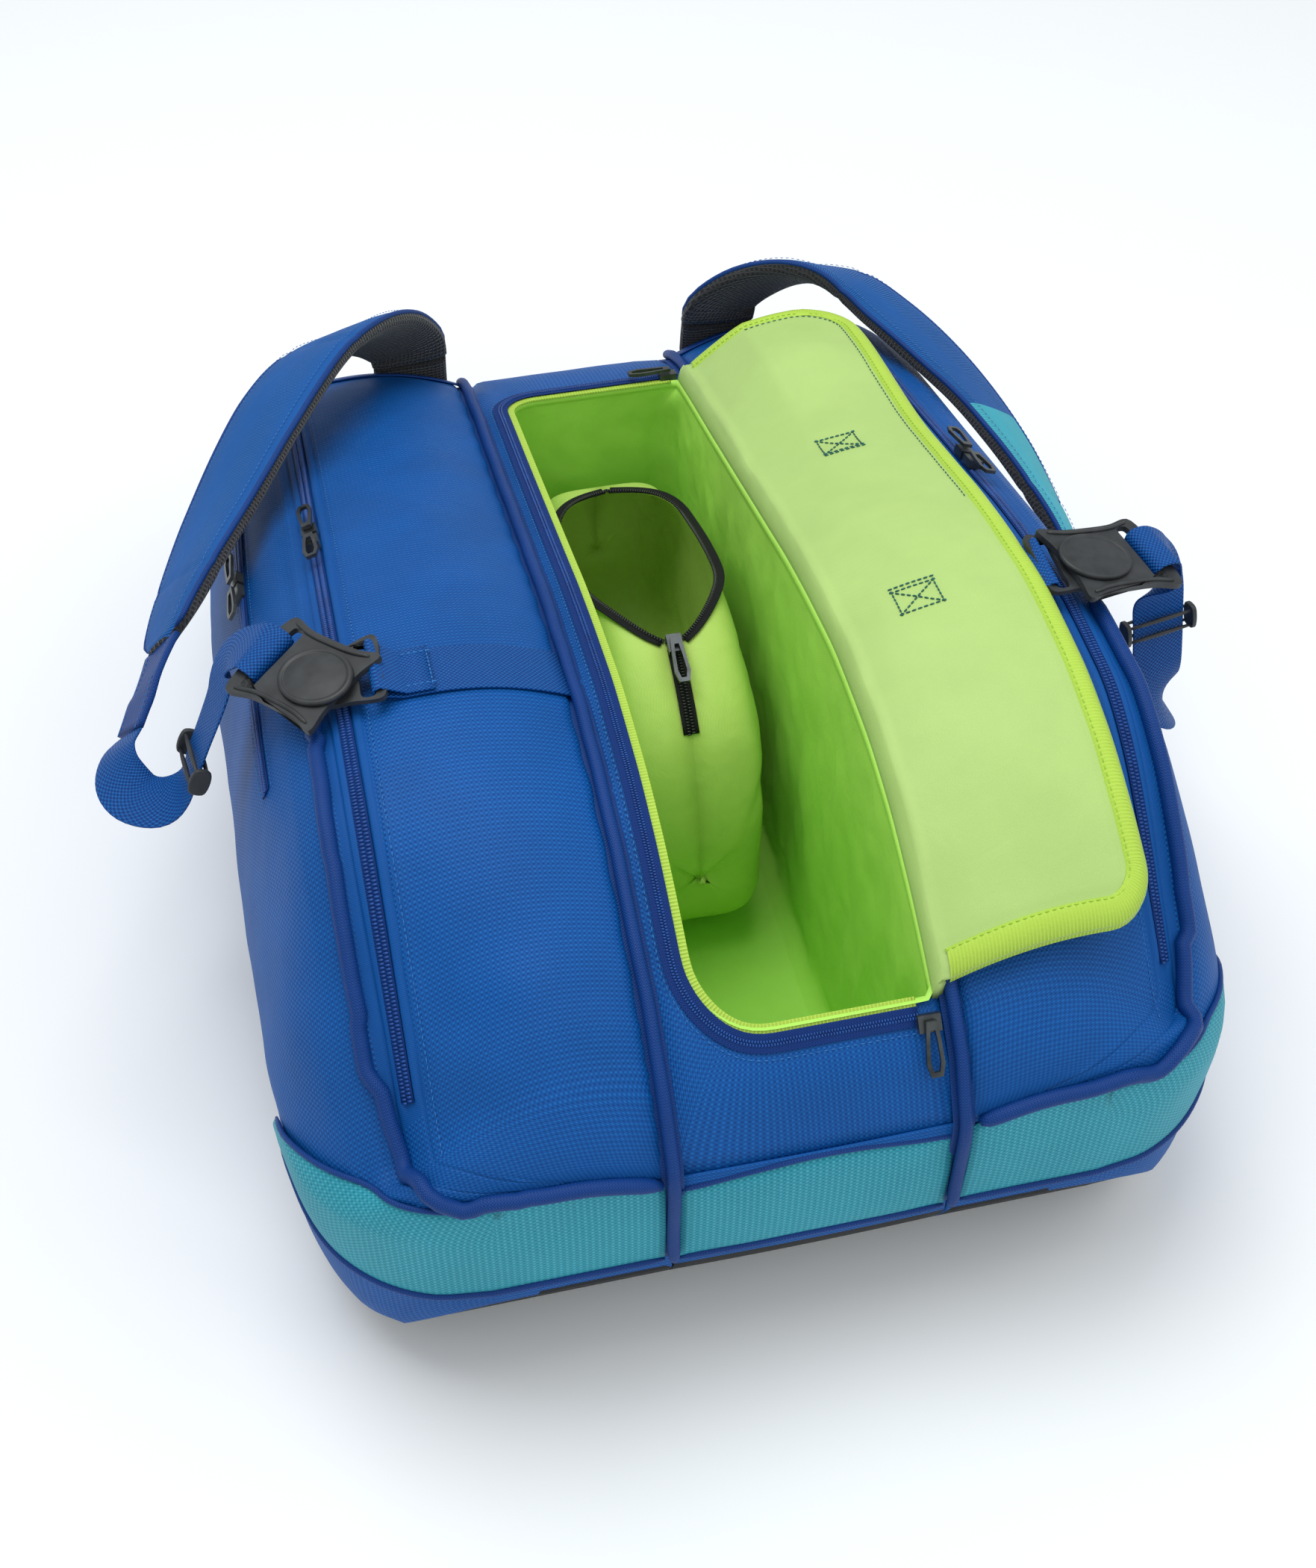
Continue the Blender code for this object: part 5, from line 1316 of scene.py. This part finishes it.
def buckleFrame(side):
    slope, swing = math.radians(buckle["slope"]), math.radians(buckle["swing"][side])
    across = Vector((side * math.cos(slope), 0, -math.sin(slope)))
    beside = Vector((0, 1, 0))
    out = across.cross(beside) * side
    centre = Vector((side * buckle["x"][side], buckle["y"], topAt(0.205, buckle["y"]) + buckle["rise"]))
    ahead = across * math.cos(swing) + beside * math.sin(swing)
    flat = beside * math.cos(swing) - across * math.sin(swing)
    return centre, across, beside, out, ahead, flat


def rounded(outline, count):
    # a smooth closed curve through an outline's corners
    points = outline + outline[:1]
    lengths = [0.0]
    for a, b in zip(points, points[1:]):
        lengths.append(lengths[-1] + math.dist(a, b))
    total = lengths[-1]
    ts = [lengths[-2] - total] + lengths + [total + lengths[1]]
    out = []
    for k in range(2):
        values = [outline[-1][k]] + [p[k] for p in points] + [outline[1][k]]
        curve = curveOf(ts, values)
        out.append([curve(total * i / count) for i in range(count)])
    return list(zip(*out))


def plate(name, outline, hole, centre, axes, thick, bevel, crownHeight=0.0, count=72):
    # a moulded plate with softened edges, with a hole when one is given
    a, b, c = axes
    verts, faces, n = [], [], count
    loops = [rounded(outline, n)]
    if hole:
        loops.append(rounded(hole, n))
        shift = min(range(n), key=lambda k: math.dist(loops[1][k], loops[0][0]))
        loops[1] = [loops[1][(k + shift) % n] for k in range(n)]
    for loop in loops:
        for s in (-1, 1):
            verts += [centre + a * u + b * v + c * (s * thick / 2 + (crownHeight if s > 0 else 0))
                      for u, v in loop]
    for i in range(n):
        k = (i + 1) % n
        faces.append((i, k, n + k, n + i))
        if hole:
            faces += [(2 * n + i, 3 * n + i, 3 * n + k, 2 * n + k), (i, 2 * n + i, 2 * n + k, k),
                      (n + i, n + k, 3 * n + k, 3 * n + i)]
    if not hole:
        faces += [tuple(range(n)), tuple(range(n, 2 * n))]
    obj = newObject(name, verts, faces, [plastics["acetal"]], smooth=False)
    bm = bmesh.new()
    bm.from_mesh(obj.data)
    bmesh.ops.recalc_face_normals(bm, faces=bm.faces)
    bm.to_mesh(obj.data)
    bm.free()
    soften(obj, bevel)
    return obj


def soften(obj, bevel):
    # moulded and cast edges have a small radius
    edge = obj.modifiers.new("softEdges", "BEVEL")
    edge.width = bevel
    edge.segments = 3
    edge.limit_method = "ANGLE"
    edge.angle_limit = math.radians(40)
    applyModifiers(obj)
    for face in obj.data.polygons:
        face.use_smooth = True
    smooth = obj.modifiers.new("weighted", "WEIGHTED_NORMAL")
    smooth.keep_sharp = True
    applyModifiers(obj)


def dome(name, rx, ry, height, centre, axes, base=0.0):
    # a shallow oval cap with a raised rim line and a sunk field
    a, b, c = axes
    profile = [(1.0, -0.0012), (1.0, 0.0004), (0.985, 0.0012), (0.95, 0.0017), (0.90, 0.0018),
               (0.865, 0.0015), (0.85, 0.0012),
               (0.82, 0.00125)] + [(0.82 * (1 - t), 0.00125 + height * (1 - (1 - t) ** 2))
                                                 for t in (0.2, 0.4, 0.6, 0.8, 0.97)]
    grid = []
    for r, h in profile:
        grid.append([centre + a * (rx * r * math.cos(2 * math.pi * k / 56))
                     + b * (ry * r * math.sin(2 * math.pi * k / 56))
                     + c * (h + base) for k in range(56)])
    return clothGrid(name, grid, [plastics["acetal"]], closed=True, caps=True)


tails = {
    -1: [(-0.2668, -0.0775, 0.3015, -0.60, 0.1, 0.8), (-0.2775, -0.0880, 0.2812, -0.82, 0.0, 0.57),
         (-0.2885, -0.0945, 0.2610, -0.88, 0.0, 0.47), (-0.2968, -0.0990, 0.2455, -0.88, 0.0, 0.47),
         (-0.3051, -0.1035, 0.2300, -0.88, 0.0, 0.47), (-0.3190, -0.1040, 0.2215, -0.40, -0.1, 0.9),
         (-0.3340, -0.0960, 0.2205, -0.25, -0.1, 0.95), (-0.3425, -0.0810, 0.2250, -0.5, -0.1, 0.85),
         (-0.3420, -0.0660, 0.2285, -0.7, -0.1, 0.7), (-0.3340, -0.0520, 0.2285, -0.8, -0.1, 0.6)],
    1: [(0.2860, -0.1130, 0.3000, 0.55, -0.25, 0.80), (0.2890, -0.1050, 0.2780, 0.45, -0.72, 0.50),
        (0.2905, -0.1025, 0.2560, 0.10, -0.97, 0.20), (0.2922, -0.1060, 0.2385, 0.10, -0.97, 0.20),
        (0.2939, -0.1095, 0.2210, 0.10, -0.97, 0.20), (0.2960, -0.1130, 0.2020, 0.15, -0.93, 0.30),
        (0.3010, -0.1130, 0.1820, 0.35, -0.75, 0.50), (0.3095, -0.1060, 0.1640, 0.60, -0.40, 0.65),
        (0.3170, -0.0920, 0.1520, 0.70, -0.20, 0.60), (0.3190, -0.0740, 0.1450, 0.80, -0.15, 0.50),
        (0.3140, -0.0560, 0.1420, 0.85, -0.15, 0.45)]}
webbing = {"wide": 0.0400, "tail": 0.0340, "thick": 0.0017, "near": -0.1475, "far": -0.1065}
for side, word in sides:
    centre, across, beside, out, ahead, flat = buckleFrame(side)
    # inner half: a low plate on the anchor webbing's loop
    outline = [(-0.0345, -0.024), (-0.016, -0.021), (0.004, -0.016), (0.016, 0.0), (0.004, 0.016),
               (-0.016, 0.021), (-0.0345, 0.024), (-0.0350, 0.0)]
    hole = [(-0.0298, -0.0212), (-0.0225, -0.0200), (-0.0220, -0.010), (-0.0220, 0.010), (-0.0225, 0.0200),
            (-0.0298, 0.0212), (-0.0302, 0.010), (-0.0302, -0.010)]
    inner = plate(word + "BuckleInner", outline, hole, centre - out * 0.0035, (across, beside, out), 0.0030,
                  0.0006)
    placed(inner, "bag", "black_plastic", word + "_buckle_inner")
    # outer half: wings with claw-shaped ends round the webbing slot
    wing = [(-0.022, -0.0300), (-0.008, -0.0272), (0.010, -0.0262), (0.028, -0.0265), (0.044, -0.0295),
            (0.0475, -0.020), (0.0478, 0.0), (0.0475, 0.020), (0.044, 0.0295), (0.028, 0.0265),
            (0.010, 0.0262), (-0.008, 0.0272), (-0.022, 0.0300), (-0.0200, 0.016), (-0.0190, 0.0),
            (-0.0200, -0.016)]
    gap = [(0.0312, -0.0225), (0.0345, -0.0232), (0.0388, -0.0225), (0.0394, -0.010), (0.0394, 0.010),
           (0.0388, 0.0225), (0.0345, 0.0232), (0.0312, 0.0225), (0.0308, 0.010), (0.0308, -0.010)]
    outer = plate(word + "BuckleOuter", wing, gap, centre + out * 0.0002, (ahead, flat, out), 0.0036, 0.0008)
    placed(outer, word + "_buckle", "black_plastic", word + "_buckle_outer")
    cover = dome(word + "PivotCover", 0.0236, 0.0192, 0.0016, centre + out * 0.0036, (ahead, flat, out))
    placed(cover, word + "_buckle", "black_plastic", word + "_pivot_cover")
    for hand in (-1, 1):
        # a raised rib runs down each wing
        rib = [centre + ahead * u + flat * (hand * v) + out * 0.0023 for u, v in
               ((-0.017, 0.0262), (-0.005, 0.0236), (0.012, 0.0228), (0.027, 0.0232), (0.040, 0.0262))]
        placed(tubeAlong("%sBuckleRib%d" % (word, hand), smoothPath(rib, 0.003), 0.0013, plastics["acetal"]),
               word + "_buckle", "black_plastic")
    # anchor webbing: across the compartment's top, round the plate's inner bar and back over itself
    reach = buckle["x"][side] - buckle["innerBar"]
    barPoint = centre - across * buckle["innerBar"] - out * 0.0035
    path = [onTop(side * x, buckle["y"], 0.0012) for x in spread((0.0845, reach - 0.012, 0.008))]
    start = len(path)
    for turn in (-90, -60, -30, 0, 30, 60, 90):
        c, s = math.cos(math.radians(turn)), math.sin(math.radians(turn))
        n = across * c + out * s
        path.append([*(barPoint + n * 0.0036), *(-n)])
    back = [onTop(side * x, buckle["y"], 0.0036) for x in (reach - 0.013, reach - 0.020, reach - 0.030)]
    path += [[*p[:3], *(-Vector(p[3:6]))] for p in back]
    rows = path
    lay = bandAlong(word + "AnchorWebbing", rows, webbing["wide"], webbing["thick"], [cloth["webbing"]])
    placed(lay, "bag", "blue_webbing", word + "_anchor_webbing")
    for index, (dy, x0, x1) in enumerate(((-0.014, 0.030, 0.016), (0.014, 0.030, 0.016))):
        line = [onTop(side * (reach - x0 + (x0 - x1) * t), buckle["y"] + dy, 0.0046)
                for t in (0, 0.33, 0.66, 1)]
        placed(stitchRow("%sAnchorStitch%d" % (word, index), line, plastics["threadBlue"], 0.0028, 0.0008,
                         0.0005), "bag",
               "blue_webbing")
    line = [onTop(side * (reach - 0.029), buckle["y"] + 0.028 * t - 0.014, 0.0046)
            for t in (0, 0.33, 0.66, 1)]
    placed(stitchRow(word + "AnchorStitch2", line, plastics["threadBlue"], 0.0028, 0.0008, 0.0005), "bag",
           "blue_webbing")
    # strap webbing: looped on the outer bar, through the tri-glide and on to the strap
    bar = centre + ahead * buckle["bar"] + out * 0.0002
    loop = [(0.005, -0.0052, 0, -1), (-0.003, -0.0052, -0.3, -1), (-0.0072, -0.003, -1, -0.5),
            (-0.0072, 0.003, -1, 0.5), (-0.003, 0.0056, -0.3, 1), (0.006, 0.0054, 0, 1)]
    path = [[*(bar + ahead * a + out * o), *(ahead * na + out * no)] for a, o, na, no in loop] + tails[side]
    lay = bandAlong(word + "StrapWebbing", smoothPath(path, 0.0035), webbing["tail"], webbing["thick"],
                    [cloth["webbing"]])
    placed(lay, word + "_strap", "blue_webbing", word + "_strap_webbing")
    # tri-glide
    a, b = Vector(tails[side][2][:3]), Vector(tails[side][4][:3])
    way, middle = (b - a).normalized(), (a + b) / 2
    face = Vector(tails[side][3][3:6])
    face = (face - way * face.dot(way)).normalized()
    cross = way.cross(face)
    ring = [(-0.0238, -0.0068), (0.0, -0.0070), (0.0238, -0.0068), (0.0242, 0.0), (0.0238, 0.0068),
            (0.0, 0.0070), (-0.0238, 0.0068), (-0.0242, 0.0)]
    for index, lift in enumerate((-0.0032, 0.0032)):
        for hand in (-1, 1):
            rod = [middle + cross * (u * 0.0225) + face * lift + way * (hand * 0.0052)
                   for u in (-1, -0.5, 0, 0.5, 1)]
            placed(tubeAlong("%sGlideBar%d%d" % (word, index, hand), rod, 0.0015, plastics["acetal"]),
                   word + "_triglide_body", "black_plastic", word + "_triglide")
    for hand in (-1, 1):
        cheek = plate("%sGlideCheek%d" % (word, hand),
                      [(-0.0070, -0.0046), (0.0070, -0.0046), (0.0070, 0.0046), (-0.0070, 0.0046)], None,
                      middle + cross * (hand * 0.0222),
                      (way, face, cross), 0.0032, 0.0008, count=24)
        placed(cheek, word + "_triglide_body", "black_plastic")
    # box-stitched tab at the strap's lower end
    tip = Vector(tails[side][-1][:3])
    rows = [list(row) for row in strapFacts[side][-2:]]
    rows = [[*Vector(rows[0][:3]).lerp(Vector(rows[1][:3]), 0.0), *rows[0][3:]], rows[1]]
    rows += [[*Vector(rows[1][:3]).lerp(tip, t), *rows[1][3:]] for t in (0.5, 0.95)]
    tab = bandAlong(word + "StrapTab", smoothPath(rows, 0.004), lambda t: 0.043 - 0.007 * t, 0.0042,
                    [cloth["piping"]])
    placed(tab, word + "_strap", "blue_webbing", word + "_strap_tab")
    for hand in (-1, 1):
        line = []
        for p, forward, sideways, lift in frames(rows):
            line.append([*(p + sideways * (hand * 0.014) + lift * 0.0021), *lift])
        placed(stitchRow("%sTabStitch%d" % (word, hand), line, plastics["threadBlue"]), word + "_strap",
               "blue_webbing")
print("straps made")


# Side pocket, base and the sewn bands at the far end

def pocketPoint(y, lift):
    ring = compartmentRing(y, -1)
    first = 9 + len(seamXs) + 9
    xo = outerAt(y, -1)
    xz, zz = ring[9 + len(seamXs) - 1]
    a = Vector((-(xz + (xo - xz) * 0.45), y, zz - (zz - 0.155) * 0.16))
    b = Vector((-(xz + (xo - xz) * 0.66), y, zz - (zz - 0.155) * 0.36))
    way = (b - a).normalized()
    out = Vector((way.z, 0, -way.x))
    if out.x > 0:
        out = -out
    return [*(a * 0.35 + b * 0.65 + out * lift), *out]


path = [pocketPoint(y, 0.0022) for y in spread((-0.150, 0.200, 0.012))]
coil, tape = coilZip("SidePocketZip", path, {"pitch": 0.0021, "coil": 0.0056, "lift": 0.0006, "tape": 0.0098},
                     cloth["zipTape"], plastics["coil"])
placed(coil, "bag", "blue_zip", "side_pocket_zip")
placed(tape, "bag", "blue_zip")
for index, offset in enumerate((-0.0085, 0.0085)):
    line = []
    for row in path:
        n = Vector(row[3:6])
        way = n.cross(Vector((0, 1, 0))).normalized()
        line.append(pressed([Vector(row[:3]) + way * offset], -1, 0.0005)[0])
    placed(stitchRow("PocketStitch%d" % index, line, plastics["threadBlue"]), "bag", "blue_fabric")
baseOutline = [(-0.228, -0.255), (-0.20, -0.282), (0.20, -0.282), (0.222, -0.255), (0.222, 0.24),
               (0.20, 0.265), (-0.20, 0.265), (-0.228, 0.24)]
verts = [(x, y, z) for z in (0.0, 0.0024) for x, y in baseOutline]
faces = [tuple(range(7, -1, -1)),
         tuple(range(8, 16))] + [(k, (k + 1) % 8, 8 + (k + 1) % 8, 8 + k) for k in range(8)]
base = newObject("BasePanel", verts, faces, [cloth["black"]], smooth=False,
                 uvs=[(verts[i][0], verts[i][1]) for face in faces for i in face])
soften(base, 0.0009)
placed(base, "bag", "black_base_fabric", "base_panel")
for side, word in sides:
    grid = []
    for i in range(40):
        x = 0.084 + 0.125 * i / 39
        grid.append([onTop(side * x, y, 0.0016)[:3]
                     for y in (0.305, 0.3065, 0.309, 0.312, 0.315, 0.3175, 0.319)])
    band = clothGrid(word + "FarBand", grid, [cloth["piping"]], outward=(20, 3, (0, 0, 1)), thick=0.0012)
    placed(band, "bag", "blue_webbing")
print("pocket and base made")


# Zip sliders and pulls keep their CAD shape, softened and plated
for name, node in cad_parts.items():
    if name.endswith("_slider") or name.endswith("_pull"):
        node.data.materials.clear()
        node.data.materials.append(plastics["gunmetal"])
        edge = node.modifiers.new("softEdges", "BEVEL")
        edge.width = 0.0006
        edge.segments = 2
print("sliders finished")
